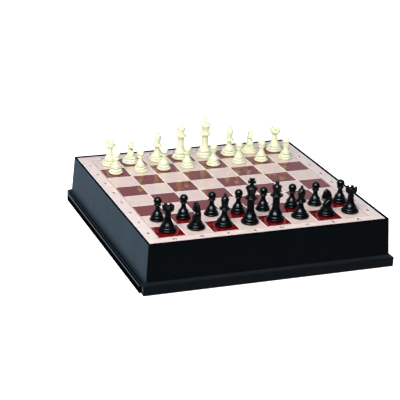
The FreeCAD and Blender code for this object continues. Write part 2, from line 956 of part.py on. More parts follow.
display_room = block(
    "display_room",
    (keypad_x, ZERO, mat_bottom - THROUGH),
    (d.display_width + d.key_clearance * 2, d.display_length + d.key_clearance * 2, tray_height),
)
switch_room = block(
    "switch_room",
    (keypad_x, switch_y, mat_bottom - THROUGH),
    (
        d.switch_width + (d.key_flange + d.key_clearance) * 2,
        switch_reach + (d.key_flange + d.key_clearance) * 2,
        d.mat_thickness + THROUGH * 2,
    ),
)
mat_sheet = block("mat_sheet", (keypad_x, ZERO, mat_bottom), (well_depth, well_half * 2, d.mat_thickness))
sub_part(cut("mat_cut", mat_sheet, display_room, switch_room), "key_mat")
sub_part(
    block(
        "display",
        (keypad_x, ZERO, mat_bottom),
        (d.display_width, d.display_length, control_panel_top - mat_bottom),
    ),
    "display_glass",
)

key_windows = [
    block(
        f"key_window_{n}",
        (keypad_x, y, control_panel_bottom - THROUGH),
        (d.key_width + d.key_clearance * 2, d.key_length + d.key_clearance * 2, tray_height),
    )
    for n, y in enumerate(key_places)
]
switch_window = block(
    "switch_window",
    (keypad_x, switch_y, control_panel_bottom - THROUGH),
    (d.switch_width + d.key_clearance * 2, switch_reach + d.key_clearance * 2, tray_height),
)
panel_sheet = block(
    "panel_sheet",
    (keypad_x, ZERO, control_panel_bottom),
    (
        d.keypad_depth - d.keypad_clearance * 2,
        (keypad_half - d.keypad_clearance) * 2,
        d.control_panel_thickness,
    ),
)
sub_part(cut("panel_cut", panel_sheet, display_room, switch_window, *key_windows), "control_panel")


def key(name, y, width, length, bottom):
    """A cap that stands through the panel, on a flange that stops it from below."""
    flange = block(
        f"{name}_flange",
        (keypad_x, y, bottom),
        (width + d.key_flange * 2, length + d.key_flange * 2, key_flange_top - bottom),
    )
    cap = block(f"{name}_cap", (keypad_x, y, bottom), (width, length, key_top - bottom))
    return fuse(name, flange, cap)


for label, y in zip(KEY_NAMES, key_places):
    sub_part(key(f"{label}_solid", y, d.key_width, d.key_length, key_bottom), label)
sub_part(
    key(
        "switch_solid",
        switch_y - d.switch_travel / 2,
        d.switch_width,
        d.switch_length,
        mat_bottom + d.key_rest_gap,
    ),
    "power_switch",
)

ribbon_low = tray_bottom + d.tray_floor
ribbon_high = board_bottom - d.ribbon_thickness
ribbon_turn = board_left + d.ribbon_loop
ribbon = upright_prism(
    "ribbon",
    [
        (tray_rear, ribbon_low),
        (ribbon_turn, ribbon_low, HALF_CIRCLE),
        (ribbon_turn, ribbon_high + d.ribbon_thickness),
        (board_left + d.ribbon_end, ribbon_high + d.ribbon_thickness),
        (board_left + d.ribbon_end, ribbon_high),
        (ribbon_turn, ribbon_high, -HALF_CIRCLE),
        (ribbon_turn, ribbon_low + d.ribbon_thickness),
        (tray_rear, ribbon_low + d.ribbon_thickness),
    ],
    d.ribbon_width,
)
place(ribbon, y=board_y)
sub_part(ribbon, "tray_ribbon")


# Chessmen: six turned patterns, and one man cast from a pattern on each square of the two end rows


def foot_corners(base, tier, disc, dome, ring):
    """The stepped foot: a disc rounded under its rim, a dome that narrows to the tier, and a beaded ring."""
    edge = d.foot_edge
    under = d.foot_undercut
    rim_r = base / 2
    tier_r = tier / 2
    return [
        (ZERO, ZERO),
        (rim_r - under, ZERO, ROUND_CORNER),
        (rim_r, under),
        (rim_r, disc - edge, ROUND_CORNER),
        (rim_r - edge, disc),
        (rim_r - edge * 1.5, disc, 0.4),
        (tier_r, disc + dome, 0.6),
        (tier_r, disc + dome + ring),
    ]


def stem_corners(bottom, foot, stem, height, share):
    """A stem that sweeps in from its foot over a share of its height and then rises straight."""
    return [(foot / 2, bottom, -0.11), (stem / 2, bottom + height * share), (stem / 2, bottom + height)]


def collar_corners(bottom, collar, height):
    """A disc with a round edge, thinner towards its rim."""
    radius = collar / 2
    return [(radius - height / 2, bottom, 0.8), (radius - height / 2, bottom + height)]


def ball_corners(bottom, ball, neck):
    """A ball that stands on its neck; its centre is on the axis."""
    radius = ball / 2
    neck_r = neck / 2
    centre = bottom + hypotenuse_side(radius, neck_r)
    sweep = math.pi - math.asin(neck_r.value / radius.value)
    return [(neck_r, bottom, math.tan(sweep / 4)), (ZERO, centre + radius)]


officer_foot = (d.officer_base, d.officer_tier, d.officer_disc, d.officer_dome, d.officer_ring)
royal_foot = (d.officer_base, d.officer_tier, d.officer_disc, d.royal_dome, d.royal_ring)
pawn_foot = (d.pawn_base, d.pawn_tier, d.pawn_disc, d.pawn_dome, d.pawn_ring)
officer_top = d.officer_disc + d.officer_dome + d.officer_ring
royal_top = d.officer_disc + d.royal_dome + d.royal_ring
pawn_top = d.pawn_disc + d.pawn_dome + d.pawn_ring


def king_pattern():
    collar = royal_top + d.king_stem_height
    ring = collar + d.king_collar_height
    waist = ring + d.king_ring_height
    crown = waist + d.king_crown_height
    dome = crown + d.king_crown_rim
    top = dome + d.king_dome_height
    waist_r = d.king_crown_waist / 2
    foot_half = d.king_cross_foot / 2
    body = turned_body(
        "king_pattern",
        foot_corners(*royal_foot)
        + stem_corners(royal_top, d.king_stem_foot, d.king_stem, d.king_stem_height, 0.45)
        + collar_corners(collar, d.king_collar, d.king_collar_height)
        + collar_corners(ring, d.king_ring, d.king_ring_height)
        + [
            (waist_r, waist),
            (waist_r, waist + d.king_crown_neck, -0.05),
            (d.king_crown / 2, crown),
            (d.king_crown / 2, dome, 0.2),
            (foot_half, top),
            (ZERO, top),
        ],
    )
    waist_half = d.king_cross_waist / 2
    bar_half = d.king_cross_bar / 2
    span_half = d.king_cross_span / 2
    peak = top + d.king_cross_height
    arm = top + d.king_cross_height * 0.47
    right = [
        (foot_half, top - d.king_dome_height),
        (waist_half, arm - bar_half * 0.75),
        (span_half, arm - bar_half),
        (span_half, arm + bar_half),
        (waist_half, arm + bar_half * 0.75),
        (d.king_cross_top / 2, peak),
    ]
    left = [(-across, up) for across, up in reversed(right)]
    pad = body.newObject("PartDesign::Pad", "king_cross")
    pad.Profile = body_sketch(body, "king_cross_outline", "XZ_Plane", right + left)
    pad.Midplane = True
    bind(pad, Length=d.king_cross_thickness)
    return body


def queen_pattern():
    collar = royal_top + d.queen_stem_height
    ring = collar + d.queen_collar_height
    waist = ring + d.queen_ring_height
    well = waist + d.queen_coronet_height
    top = well + d.queen_rim_height
    rim_r = d.queen_coronet / 2
    inner = rim_r - d.queen_rim_wall
    body = turned_body(
        "queen_pattern",
        foot_corners(*royal_foot)
        + stem_corners(royal_top, d.queen_stem_foot, d.queen_stem, d.queen_stem_height, 0.45)
        + collar_corners(collar, d.queen_collar, d.queen_collar_height)
        + collar_corners(ring, d.queen_ring, d.queen_ring_height)
        + [
            (d.queen_coronet_waist / 2, waist, 0.04),
            (rim_r, top),
            (inner, top),
            (inner, well),
            (ZERO, well),
        ],
    )
    notch = d.queen_notch / 2
    cross_cut(
        body,
        "queen_notches",
        [(notch, top + notch), (-notch, top + notch), (-notch, top, HALF_CIRCLE), (notch, top)],
        copies=4,
        step=45,
    )
    add_turning(
        body,
        "queen_finial",
        [(ZERO, well - d.queen_rim_wall), (inner, well - d.queen_rim_wall), (inner, well, 0.2)]
        + ball_corners(well + d.queen_dome_height, d.queen_ball, d.queen_ball_neck),
    )
    return body


def bishop_pattern():
    collar = officer_top + d.bishop_stem_height
    ring = collar + d.bishop_collar_height
    mitre = ring + d.bishop_ring_height
    widest = mitre + d.bishop_mitre_lower
    tip = widest + d.bishop_mitre_upper
    body = turned_body(
        "bishop_pattern",
        foot_corners(*officer_foot)
        + stem_corners(officer_top, d.bishop_stem_foot, d.bishop_stem, d.bishop_stem_height, 0.75)
        + collar_corners(collar, d.bishop_collar, d.bishop_collar_height)
        + collar_corners(ring, d.bishop_ring, d.bishop_ring_height)
        + [(d.bishop_mitre_foot / 2, mitre, 0.02), (d.bishop_mitre / 2, widest, 0.34)]
        + ball_corners(tip, d.bishop_ball, d.bishop_ball_neck),
    )
    outer = d.bishop_mitre / 2 + THROUGH
    inner = d.bishop_mitre / 2 - d.bishop_slit_depth
    rise = d.bishop_mitre_upper * 0.6
    cross_cut(
        body,
        "bishop_slit",
        [
            (inner, widest),
            (inner + d.bishop_slit, widest),
            (outer, widest + rise),
            (outer, widest + rise + d.bishop_slit * 2),
        ],
    )
    return body


def rook_pattern():
    neck = officer_top + d.rook_stem_height
    crown = neck + d.rook_flare_height
    top = crown + d.rook_crown_height
    rim_r = d.rook_crown / 2
    well = rim_r - d.rook_crown_wall
    body = turned_body(
        "rook_pattern",
        foot_corners(*officer_foot)
        + stem_corners(officer_top, d.rook_stem_foot, d.rook_stem, d.rook_stem_height, 0.75)
        + [
            (d.rook_neck / 2, neck, 0.1),
            (rim_r, crown),
            (rim_r, top),
            (well, top),
            (well, top - d.rook_well_depth),
            (ZERO, top - d.rook_well_depth),
        ],
    )
    half = d.rook_crenel / 2
    floor = top - d.rook_crenel_depth
    cross_cut(
        body,
        "rook_crenels",
        [(-half, floor), (half, floor), (half, top + THROUGH), (-half, top + THROUGH)],
        copies=3,
        step=60,
    )
    return body


def knight_pattern():
    tall = d.knight_head_height
    nose = d.knight_muzzle_reach
    mane = d.knight_mane_reach
    bottom = officer_top
    body = turned_body("knight_pattern", foot_corners(*officer_foot) + [(ZERO, officer_top)])
    head = body.newObject("PartDesign::Pad", "knight_head")
    head.Profile = body_sketch(
        body,
        "knight_head_outline",
        "XZ_Plane",
        [
            (-mane * 0.8, bottom - d.officer_ring),
            (nose * 0.62, bottom - d.officer_ring),
            (nose * 0.67, bottom + tall * 0.08),
            (nose * 0.64, bottom + tall * 0.22, 0.15),
            (nose * 0.14, bottom + tall * 0.41),
            (-mane * 0.36, bottom + tall * 0.475),
            (nose * 0.77, bottom + tall * 0.5, 0.2),
            (nose, bottom + tall * 0.555, 0.1),
            (nose * 0.9, bottom + tall * 0.65),
            (nose * 0.77, bottom + tall * 0.77),
            (nose * 0.6, bottom + tall * 0.9),
            (nose * 0.3, bottom + tall),
            (nose * 0.1, bottom + tall * 0.955),
            (-mane * 0.3, bottom + tall * 0.905, 0.12),
            (-mane * 0.89, bottom + tall * 0.58, 0.06),
            (-mane * 0.9, bottom + tall * 0.22),
        ],
    )
    head.Midplane = True
    bind(head, Length=d.knight_neck_thickness)
    cheek = d.knight_head_thickness / 2
    neck = d.knight_neck_thickness / 2
    clear = neck + THROUGH
    for side, sign in (("near", -1), ("far", 1)):
        doc.recompute()
        before = body.Shape.Volume
        shave = body.newObject("PartDesign::Pocket", f"knight_shave_{side}")
        shave.Profile = body_sketch(
            body,
            f"knight_shave_{side}_outline",
            "YZ_Plane",
            [
                (neck * sign, bottom + tall * 0.1),
                (clear * sign, bottom + tall * 0.1),
                (clear * sign, bottom + tall + THROUGH),
                (cheek * 0.7 * sign, bottom + tall + THROUGH),
                (cheek * sign, bottom + tall * 0.6),
            ],
        )
        shave.Type = "ThroughAll"
        shave.Midplane = True
        doc.recompute()
        if body.Shape.Volume >= before:
            raise RuntimeError("the knight's cheeks were not shaved")
    return body


def pawn_pattern():
    collar = pawn_top + d.pawn_stem_height
    neck = collar + d.pawn_collar_height
    return turned_body(
        "pawn_pattern",
        foot_corners(*pawn_foot)
        + stem_corners(pawn_top, d.pawn_stem_foot, d.pawn_stem, d.pawn_stem_height, 0.85)
        + collar_corners(collar, d.pawn_collar, d.pawn_collar_height)
        + [(d.pawn_ball_neck / 2, neck)]
        + ball_corners(neck + d.pawn_neck_height, d.pawn_ball, d.pawn_ball_neck),
    )


PATTERNS = {
    "king": king_pattern(),
    "queen": queen_pattern(),
    "bishop": bishop_pattern(),
    "rook": rook_pattern(),
    "knight": knight_pattern(),
    "pawn": pawn_pattern(),
}

# The men as they were set down, from the left: file, man, millimetres to the right of and beyond the middle of the
# square, and turn in degrees.
BLACK_OFFICERS = [
    ("h", "rook", -0.2, 1.8, 10),
    ("g", "knight", 1.6, 0.4, 108),
    ("f", "bishop", 3.4, 1.0, 200),
    ("e", "king", 2.5, 0.0, -20),
    ("d", "queen", 1.9, 0.6, 0),
    ("c", "bishop", 1.2, 1.4, 160),
    ("b", "knight", 2.3, 0.8, 180),
    ("a", "rook", 0.4, 1.4, 25),
]
BLACK_PAWNS = [
    ("h", -1.0, 2.6),
    ("g", -2.1, 2.2),
    ("f", 0.6, 2.4),
    ("e", 1.1, 1.4),
    ("d", 0.0, 1.4),
    ("c", 5.6, 2.2),
    ("b", 2.6, 1.0),
    ("a", 3.0, 1.4),
]
IVORY_OFFICERS = [
    ("h", "rook", 2.2, -1.2, 5),
    ("g", "knight", -3.3, 0.4, -96),
    ("f", "bishop", 0.4, 0.0, 20),
    ("e", "queen", -0.5, 0.4, 0),
    ("d", "king", 0.2, -0.4, -20),
    ("c", "bishop", 1.7, -1.2, 150),
    ("b", "knight", -1.5, 0.0, -86),
    ("a", "rook", 1.2, -1.0, 15),
]
IVORY_PAWNS = [
    ("h", 0.2, 0.4),
    ("g", -0.8, -0.8),
    ("f", -2.3, -0.6),
    ("e", -3.3, -0.6),
    ("d", -0.6, -1.4),
    ("c", 2.6, -1.0),
    ("b", 1.0, -1.2),
    ("a", 2.8, -1.0),
]


def stand(man, label, column, row, aside, beyond, turn):
    """Casts a man from its pattern and stands it on a square, counted from the board's centre."""
    cast = group(label, PATTERNS[man])
    place(
        cast,
        d.square_size * column + aside,
        d.square_size * row + beyond,
        d.case_height,
        Rotation(Vector(0, 0, 1), turn),
    )
    sub_part(cast, label)


FIRST_COLUMN = (1 - SQUARES_ACROSS) / 2
PAIRED = ("rook", "knight", "bishop")
for colour, officers, pawns, edge_row, inward in (
    ("black", BLACK_OFFICERS, BLACK_PAWNS, FIRST_COLUMN, 1),
    ("ivory", IVORY_OFFICERS, IVORY_PAWNS, -FIRST_COLUMN, -1),
):
    for column, (letter, man, aside, beyond, turn) in enumerate(officers):
        label = f"{colour}_{man}_{letter}" if man in PAIRED else f"{colour}_{man}"
        stand(man, label, column + FIRST_COLUMN, edge_row, aside, beyond, turn)
    for column, (letter, aside, beyond) in enumerate(pawns):
        stand("pawn", f"{colour}_pawn_{letter}", column + FIRST_COLUMN, edge_row + inward, aside, beyond, 0)


# Every object is checked before any file is written

doc.recompute()
for thing in doc.Objects:
    if "Invalid" in thing.State or "Error" in thing.State:
        raise RuntimeError(f"{thing.Label} failed: {thing.State}")
for thing in sub_parts:
    if thing.Shape.isNull() or not thing.Shape.isValid():
        raise RuntimeError(f"{thing.Label} has no valid shape")

os.makedirs("parts", exist_ok=True)
for thing in sub_parts:
    thing.Shape.exportStep(f"parts/{thing.Label}.step")
print(f"{len(sub_parts)} sub-parts written")
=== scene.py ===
import math

import bmesh
import bpy
import numpy as np
from mathutils import Matrix, Vector


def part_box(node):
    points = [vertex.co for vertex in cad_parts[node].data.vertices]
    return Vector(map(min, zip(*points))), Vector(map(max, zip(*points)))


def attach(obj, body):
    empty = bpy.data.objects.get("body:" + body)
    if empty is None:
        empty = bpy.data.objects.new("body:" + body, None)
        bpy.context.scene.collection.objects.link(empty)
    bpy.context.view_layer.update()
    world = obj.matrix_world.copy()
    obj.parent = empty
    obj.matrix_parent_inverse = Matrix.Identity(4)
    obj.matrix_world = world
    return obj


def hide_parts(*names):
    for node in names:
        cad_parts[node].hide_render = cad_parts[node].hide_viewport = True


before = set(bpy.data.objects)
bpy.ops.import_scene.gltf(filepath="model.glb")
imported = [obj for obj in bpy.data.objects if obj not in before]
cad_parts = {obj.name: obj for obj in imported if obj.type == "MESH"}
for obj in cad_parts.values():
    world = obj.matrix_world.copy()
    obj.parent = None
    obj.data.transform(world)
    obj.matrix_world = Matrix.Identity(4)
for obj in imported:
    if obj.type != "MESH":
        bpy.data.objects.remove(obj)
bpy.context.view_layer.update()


# Case: one moulding of satin black plastic. Its walls lean in towards the board inside a dull rim, a sloped
# ledge runs round their foot, and the left of the plinth is open for the control tray. Above that slot are a
# round bead and a groove; two dull strips along the ledge's edge over them are painted seam shadows.

MM = 0.001
BOARD_TOP = 67.8
RIM_TOP = 69.4
RIM_HALF = 173.05
RECESS_HALF = 170.6
RECESS_FLOOR = 65.7
DECK_UNDERSIDE = 63.3
CAVITY_HALF = 170.55
WALL_FOOT_HALF = 176.15
WALL_FOOT = 17.5
PLINTH_HALF = 181.65
PLINTH_TOP = 14.2
PLINTH_BOTTOM = 1.2
COVER_HALF = 178.85
COVER_TOP = 2.8
SLOT_HALF = 169.65
SLOT_TOP = 8.2
STRIP_HALF = SLOT_HALF + 1.4
EDGE_FOOT = 12.4
UNDERSIDE_LEDGE = 12.0
CASE_CORNER = 1.6
GROOVE_DEPTHS = (0.0, 0.8, 0.8, 0.45, 0.12, 0.0, 0.12, 0.45)
GROOVE_RUN = 0.8
NICK_HALF = 2.6
NICK_FLOOR_HALF = 2.2
NICK_DEPTH = 0.9
BEAD_FACE, BEAD_BOTTOM, BEAD_TOP = -181.1, 8.3, 10.1


class Shade:
    """One socket among the nodes of a finish. Arithmetic on such sockets adds the Math nodes it needs."""

    def __init__(self, tree, socket=None):
        self.tree = tree
        self.socket = socket

    def node(self, kind, settings=(), sockets=(), output=0):
        """Adds a node of that kind, with its settings first and then the values or links of its sockets."""
        made = self.tree.nodes.new(kind)
        for name, value in dict(settings).items():
            setattr(made, name, value)
        self.fill(made, sockets)
        return Shade(self.tree, made.outputs[output])

    def fill(self, made, sockets):
        """Links or sets sockets of a node that is already there."""
        for name, value in dict(sockets).items():
            if isinstance(value, Shade):
                self.tree.links.new(value.socket, made.inputs[name])
            else:
                made.inputs[name].default_value = value

    def math(self, operation, other=0.0):
        """This value under a Math node's operation, with a second one where it takes two."""
        return self.node("ShaderNodeMath", {"operation": operation}, {0: self, 1: other})

    def __add__(self, other):
        return self.math("ADD", other)

    def __sub__(self, other):
        return self.math("SUBTRACT", other)

    def __mul__(self, other):
        return self.math("MULTIPLY", other)

    def __lt__(self, other):
        return self.math("LESS_THAN", other)

    def __gt__(self, other):
        return self.math("GREATER_THAN", other)

    def __abs__(self):
        return self.math("ABSOLUTE")

    def __rsub__(self, other):
        return self.node("ShaderNodeMath", {"operation": "SUBTRACT"}, {0: other, 1: self})

    __radd__ = __add__
    __rmul__ = __mul__

    def mix(self, low, high):
        """A colour between low, where this value is 0, and high, where it is 1."""
        return self.node("ShaderNodeMix", {"data_type": "RGBA"}, {0: self, 6: low, 7: high}, 2)

    def ramp(self, low, high):
        """0 below low, 1 above high, and a smooth rise between them."""
        smooth = {"interpolation_type": "SMOOTHSTEP"}
        return self.node("ShaderNodeMapRange", smooth, {0: self, 1: low, 2: high})

    def axes(self):
        """The three coordinates of a place."""
        parts = self.node("ShaderNodeSeparateXYZ", sockets={0: self}).socket.node
        return [Shade(self.tree, socket) for socket in parts.outputs]

    def noise(self, scale, detail=2.0, stretch=(1.0, 1.0, 1.0)):
        """Cloudy noise over this place, with scale in blotches per metre, drawn out along the axes by
        stretch."""
        place = self.node("ShaderNodeVectorMath", {"operation": "MULTIPLY"}, {0: self, 1: stretch})
        return self.node("ShaderNodeTexNoise", sockets={"Vector": place, "Scale": scale, "Detail": detail})

    def bump(self, strength, depth):
        """The surface's normal, tilted by this value as a height of that depth in metres."""
        return self.node("ShaderNodeBump", sockets={"Strength": strength, "Distance": depth, "Height": self})


def colour(red, green, blue):
    """An opaque colour."""
    return (red, green, blue, 1.0)


def new_finish(name):
    """An empty material, and the place on the piece, in metres, that its patterns are drawn on."""
    material = bpy.data.materials.new(name)
    material.use_nodes = True
    return material, Shade(material.node_tree).node("ShaderNodeTexCoord", output=3)


def set_finish(material, sockets):
    """Sets what the material's shader takes, one value or pattern for each named socket."""
    shader = material.node_tree.nodes["Principled BSDF"]
    Shade(material.node_tree).fill(shader, sockets)
    return material


def moulded_plastic(name, dark, light, roughness, grain=1800.0, grain_depth=0.00004, sockets=()):
    """Moulded plastic: a fine spark-eroded grain, faint cloudy flow marks in the colour, and handling marks
    in the gloss."""
    material, place = new_finish(name)
    flow = place.noise(45.0, 3.0)
    handling = place.noise(120.0, 4.0).ramp(0.35, 0.75)
    return set_finish(material, {
        "Base Color": flow.mix(dark, light),
        "Roughness": roughness * (0.88 + 0.3 * handling),
        "Normal": place.noise(grain, 3.0).bump(0.35, grain_depth),
        **dict(sockets),
    })


def rounded(corners):
    """An outline of straight runs whose corners, given as (across, up, radius), are eased. Each bend begins
    and ends where a circle of the radius touches the two runs, and between them it is a quadratic curve
    drawn towards the corner."""
    spots = np.array([corner[:2] for corner in corners], float)
    outline = [spots[:1]]
    for before, spot, after, (_, _, radius) in zip(spots, spots[1:], spots[2:], corners[1:-1]):
        runs = np.array([before - spot, after - spot])
        lengths = np.linalg.norm(runs, axis=1)
        ways = runs / lengths[:, None]
        half = 0.5 * math.acos(np.clip(ways[0] @ ways[1], -1, 1))
        reach = min(radius / math.tan(half), *(0.48 * lengths)) if radius else 0.0
        share = np.linspace(0, 1, 7 if reach else 1)[:, None]
        start, end = spot + ways * reach
        bend = (1 - share) ** 2 * start + 2 * share * (1 - share) * spot + share ** 2 * end
        outline.append(bend)
    outline.append(spots[-1:])
    return np.vstack(outline)


def skin(grid):
    """Corner places and arrays of faces of a closed skin. The rows of the grid are rings, each joined to the
    next one, and the first and last rows, which are single points, close it with triangles."""
    rings = grid[1:-1]
    count, around = rings.shape[:2]
    ring = np.arange(count * around).reshape(count, around) + 1
    beside = np.roll(ring, -1, axis=1)
    walls = np.stack([ring[:-1], beside[:-1], beside[1:], ring[1:]], axis=-1).reshape(-1, 4)
    first = np.stack([np.zeros(around, int), beside[0], ring[0]], axis=-1)
    last = np.stack([np.full(around, count * around + 1), ring[-1], beside[-1]], axis=-1)
    places = np.vstack([grid[0, :1], rings.reshape(-1, 3), grid[-1, :1]])
    return places, [walls, first, last]


def make_piece(name, skins, material, body, nodes=(), sharp=38):
    """One object from closed skins given in millimetres, smooth but for edges sharper than an angle in
    degrees."""
    places, faces, count = [], [], 0
    for skin_places, skin_faces in skins:
        places.append(skin_places)
        for block in skin_faces:
            faces += (block + count).tolist()
        count += len(skin_places)
    mesh = bpy.data.meshes.new(name)
    mesh.from_pydata((np.vstack(places) * MM).tolist(), [], faces)
    shell = bmesh.new()
    shell.from_mesh(mesh)
    bmesh.ops.recalc_face_normals(shell, faces=shell.faces)
    shell.to_mesh(mesh)
    shell.free()
    mesh.shade_smooth()
    mesh.set_sharp_from_angle(angle=math.radians(sharp))
    mesh.materials.append(material)
    made = bpy.data.objects.new(name, mesh)
    bpy.context.scene.collection.objects.link(made)
    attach(made, body)
    if nodes:
        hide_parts(*nodes)
    return made


def case_skin():
    """The case's section carried round a square with rounded corners: at each station the section's reach is
    measured from the middle, and the corner's arc is added to it. Stations on the left carry the groove and
    bead as an inward shift of the section's rows, and the ones at the middle of the front carry a small
    nick. Over the tray's slot the walls are left out, and the edges of the two openings are joined."""
    wall = [
        (0, RECESS_FLOOR, 0.0), (RECESS_HALF, RECESS_FLOOR, 0.0), (RECESS_HALF, RIM_TOP, 0.5),
        (RIM_HALF, RIM_TOP, 0.5), (WALL_FOOT_HALF, WALL_FOOT, 1.6),
        (PLINTH_HALF - 1.9, PLINTH_TOP + 0.95, 0.0),
    ]
    section = rounded(wall)
    edge = rounded([
        (PLINTH_HALF - 1.6, PLINTH_TOP + 0.8, 0.0), (PLINTH_HALF, PLINTH_TOP, 0.5),
        (PLINTH_HALF, EDGE_FOOT, 0.0),
    ])
    face_heights = (11.9, 11.75, 10.45, 10.3, 10.0, 9.25, 8.5, SLOT_TOP, COVER_TOP, 1.8)
    plinth = np.array([(PLINTH_HALF, height) for height in face_heights] + [
        (PLINTH_HALF - 0.2, 1.35), (PLINTH_HALF - 0.6, PLINTH_BOTTOM),
        (COVER_HALF + 0.2, PLINTH_BOTTOM), (COVER_HALF + 0.2, COVER_TOP),
    ])
    inside = np.array([
        (WALL_FOOT_HALF, COVER_TOP), (WALL_FOOT_HALF, SLOT_TOP), (WALL_FOOT_HALF, UNDERSIDE_LEDGE),
        (CAVITY_HALF, UNDERSIDE_LEDGE), (CAVITY_HALF, DECK_UNDERSIDE), (0, DECK_UNDERSIDE),
    ])
    rows = np.vstack([section, edge, plinth, inside])
    first_edge, first_plinth = len(section), len(section) + len(edge)
    first_inside = first_plinth + len(plinth)
    groove = np.zeros(len(rows))
    groove[first_plinth:first_plinth + len(GROOVE_DEPTHS)] = GROOVE_DEPTHS
    nick = np.zeros(len(rows))
    nick[first_edge:first_plinth] = 1.0
    quarter = np.radians(np.linspace(0, 90, 7))
    stations = []
    for turn, (sign_x, sign_y) in enumerate([(1, 1), (-1, 1), (-1, -1), (1, -1)]):
        angles = quarter + turn * math.pi / 2
        stations += [(sign_x, sign_y, math.cos(a), math.sin(a), 0, 0, 0, 0) for a in angles]
        if turn == 1:
            left = [(SLOT_HALF, 0), (SLOT_HALF - GROOVE_RUN, 1), (SLOT_HALF / 3, 1),
                    (-SLOT_HALF / 3, 1), (GROOVE_RUN - SLOT_HALF, 1), (-SLOT_HALF, 0)]
            stations += [(-1, 0, -1, 0, 0, y, depth, 0) for y, depth in left]
        if turn == 2:
            front = [(-NICK_HALF, 0), (-NICK_FLOOR_HALF, 1), (NICK_FLOOR_HALF, 1), (NICK_HALF, 0)]
            stations += [(0, -1, 0, -1, x, 0, 0, depth) for x, depth in front]
    sign_x, sign_y, cosine, sine, at_x, at_y, groove_here, nick_here = np.array(stations).T
    reach = rows[:, :1] - groove[:, None] * groove_here - NICK_DEPTH * nick[:, None] * nick_here
    corner = np.minimum(CASE_CORNER, rows[:, :1])
    x = sign_x * (reach - corner) + corner * cosine + at_x * (reach > 0)
    y = sign_y * (reach - corner) + corner * sine + at_y * (reach > 0)
    up = np.broadcast_to(rows[:, 1:], x.shape)
    places, (walls, first, last) = skin(np.stack([x, y, up], axis=-1))
    slot_stations = np.flatnonzero((sign_x == -1) & (sign_y == 0))
    outer, inner = first_plinth + rows[first_plinth:, 1].tolist().index(SLOT_TOP), first_inside
    opening = np.array([outer, outer + 1, inner, inner + 1])
    corners = 1 + (opening[:, None] - 1) * len(stations) + slot_stations
    walls = walls[~np.isin(walls[:, 0], corners[[0, 2], :-1])]
    top, sill = corners[[0, 3]], corners[[1, 2]]
    across = [np.stack([out[:-1], out[1:], back[1:], back[:-1]], axis=-1) for out, back in (top, sill)]
    return places, [walls, first, last, *across, corners[:, [0, -1]].T]


def case_plastic(name):
    """Satin black with faint broad upright streaks from the tool, and a polished bead over the slot."""
    material, place = new_finish(name)
    across, _, up = place.axes()
    bead = (across < BEAD_FACE * MM) * (up > BEAD_BOTTOM * MM) * (up < BEAD_TOP * MM)
    streaks = place.noise(28.0, 2.0, (1.0, 1.0, 0.1))
    handling = place.noise(120.0, 4.0).ramp(0.35, 0.75)
    return set_finish(material, {
        "Base Color": place.noise(45.0, 3.0).mix(
            colour(0.0004, 0.0006, 0.0008), colour(0.0008, 0.0011, 0.0014),
        ),
        "Roughness": 0.27 + 0.10 * streaks + 0.05 * handling - 0.2 * bead,
        "Specular Tint": colour(0.72, 0.88, 1.0),
        "Coat Weight": bead,
        "Normal": (streaks + 0.02 * place.noise(1800.0, 3.0)).bump(0.25, 0.0004),
    })


def corner_arcs(count):
    """The angles of the four corner arcs of a square, count to each, and the sides of x and y they lie on."""
    angles = np.radians(np.concatenate([np.linspace(0, 90, count) + 90 * turn for turn in range(4)]))
    return angles, np.repeat([1, -1, -1, 1], count), np.repeat([1, 1, -1, -1], count)


RIM_SKIN = 0.03


def rim_skin():
    """A thin skin over the case's rim: its section, closed on itself, carried round the square with the same
    corner arcs as the case."""
    section = np.array([
        (RECESS_HALF + 0.3, BOARD_TOP - 0.6), (RECESS_HALF - RIM_SKIN, BOARD_TOP - 0.6),
        (RECESS_HALF - RIM_SKIN, RIM_TOP - 0.2), (RECESS_HALF + 0.15, RIM_TOP + RIM_SKIN),
        (RIM_HALF - 0.15, RIM_TOP + RIM_SKIN), (RIM_HALF + RIM_SKIN, RIM_TOP - 0.2),
        (RIM_HALF + 0.08, RIM_TOP - 0.9), (RIM_HALF - 0.4, RIM_TOP - 0.9),
    ])
    angles, sign_x, sign_y = corner_arcs(7)
    x = sign_x * (section[:, :1] - CASE_CORNER) + CASE_CORNER * np.cos(angles)
    y = sign_y * (section[:, :1] - CASE_CORNER) + CASE_CORNER * np.sin(angles)
    places = np.stack([x, y, np.broadcast_to(section[:, 1:], x.shape)], axis=-1)
    ring = np.arange(x.size).reshape(x.shape)
    above = np.roll(ring, -1, axis=0)
    faces = np.stack([ring, np.roll(ring, -1, axis=1), np.roll(above, -1, axis=1), above], axis=-1)
    return places.reshape(-1, 3), [faces.reshape(-1, 4)]


DULL_BLACK = colour(0.0004, 0.0005, 0.0006), colour(0.0010, 0.0012, 0.0014)

make_piece(
    "case_moulding", [case_skin()], case_plastic("case_satin"), "case", ["case_shell"],
    sharp=30,
)
rim_dull = moulded_plastic("rim_dull", *DULL_BLACK, 0.8, sockets={"Specular IOR Level": 0.02})
make_piece("case_rim", [rim_skin()], rim_dull, "case", sharp=30)


def bar_skin(section, half):
    """A bar along the case's left side: a section, closed on itself, carried between two flat ends."""
    ring = np.insert(np.asarray(section, float), 1, 0.0, axis=1)
    middle = np.broadcast_to(ring.mean(axis=0), ring.shape)
    ends = np.array([-half, -half, half, half])[:, None, None] * (0, 1, 0)
    return skin(np.stack([middle, ring, ring, middle]) + ends)


# Painted shade: dull, unreflecting strips laid on the ledge's edge and the plinth face stand for seam
# shadows.
seam_shade_sections = [
    [(-179.3, 15.5), (-180.6, 14.79), (-180.6, 14.0), (-179.3, 14.0)],
    [(-181.75, 13.9), (-181.75, EDGE_FOOT), (-181.0, EDGE_FOOT), (-181.0, 13.9)],
]
seam_shade_strips = [bar_skin(section, STRIP_HALF) for section in seam_shade_sections]
painted_seam_shade = moulded_plastic("painted_seam_shade", *DULL_BLACK, 0.8, sockets={"Specular IOR Level": 0.0})
make_piece("case_painted_seam_shade", seam_shade_strips, painted_seam_shade, "case")


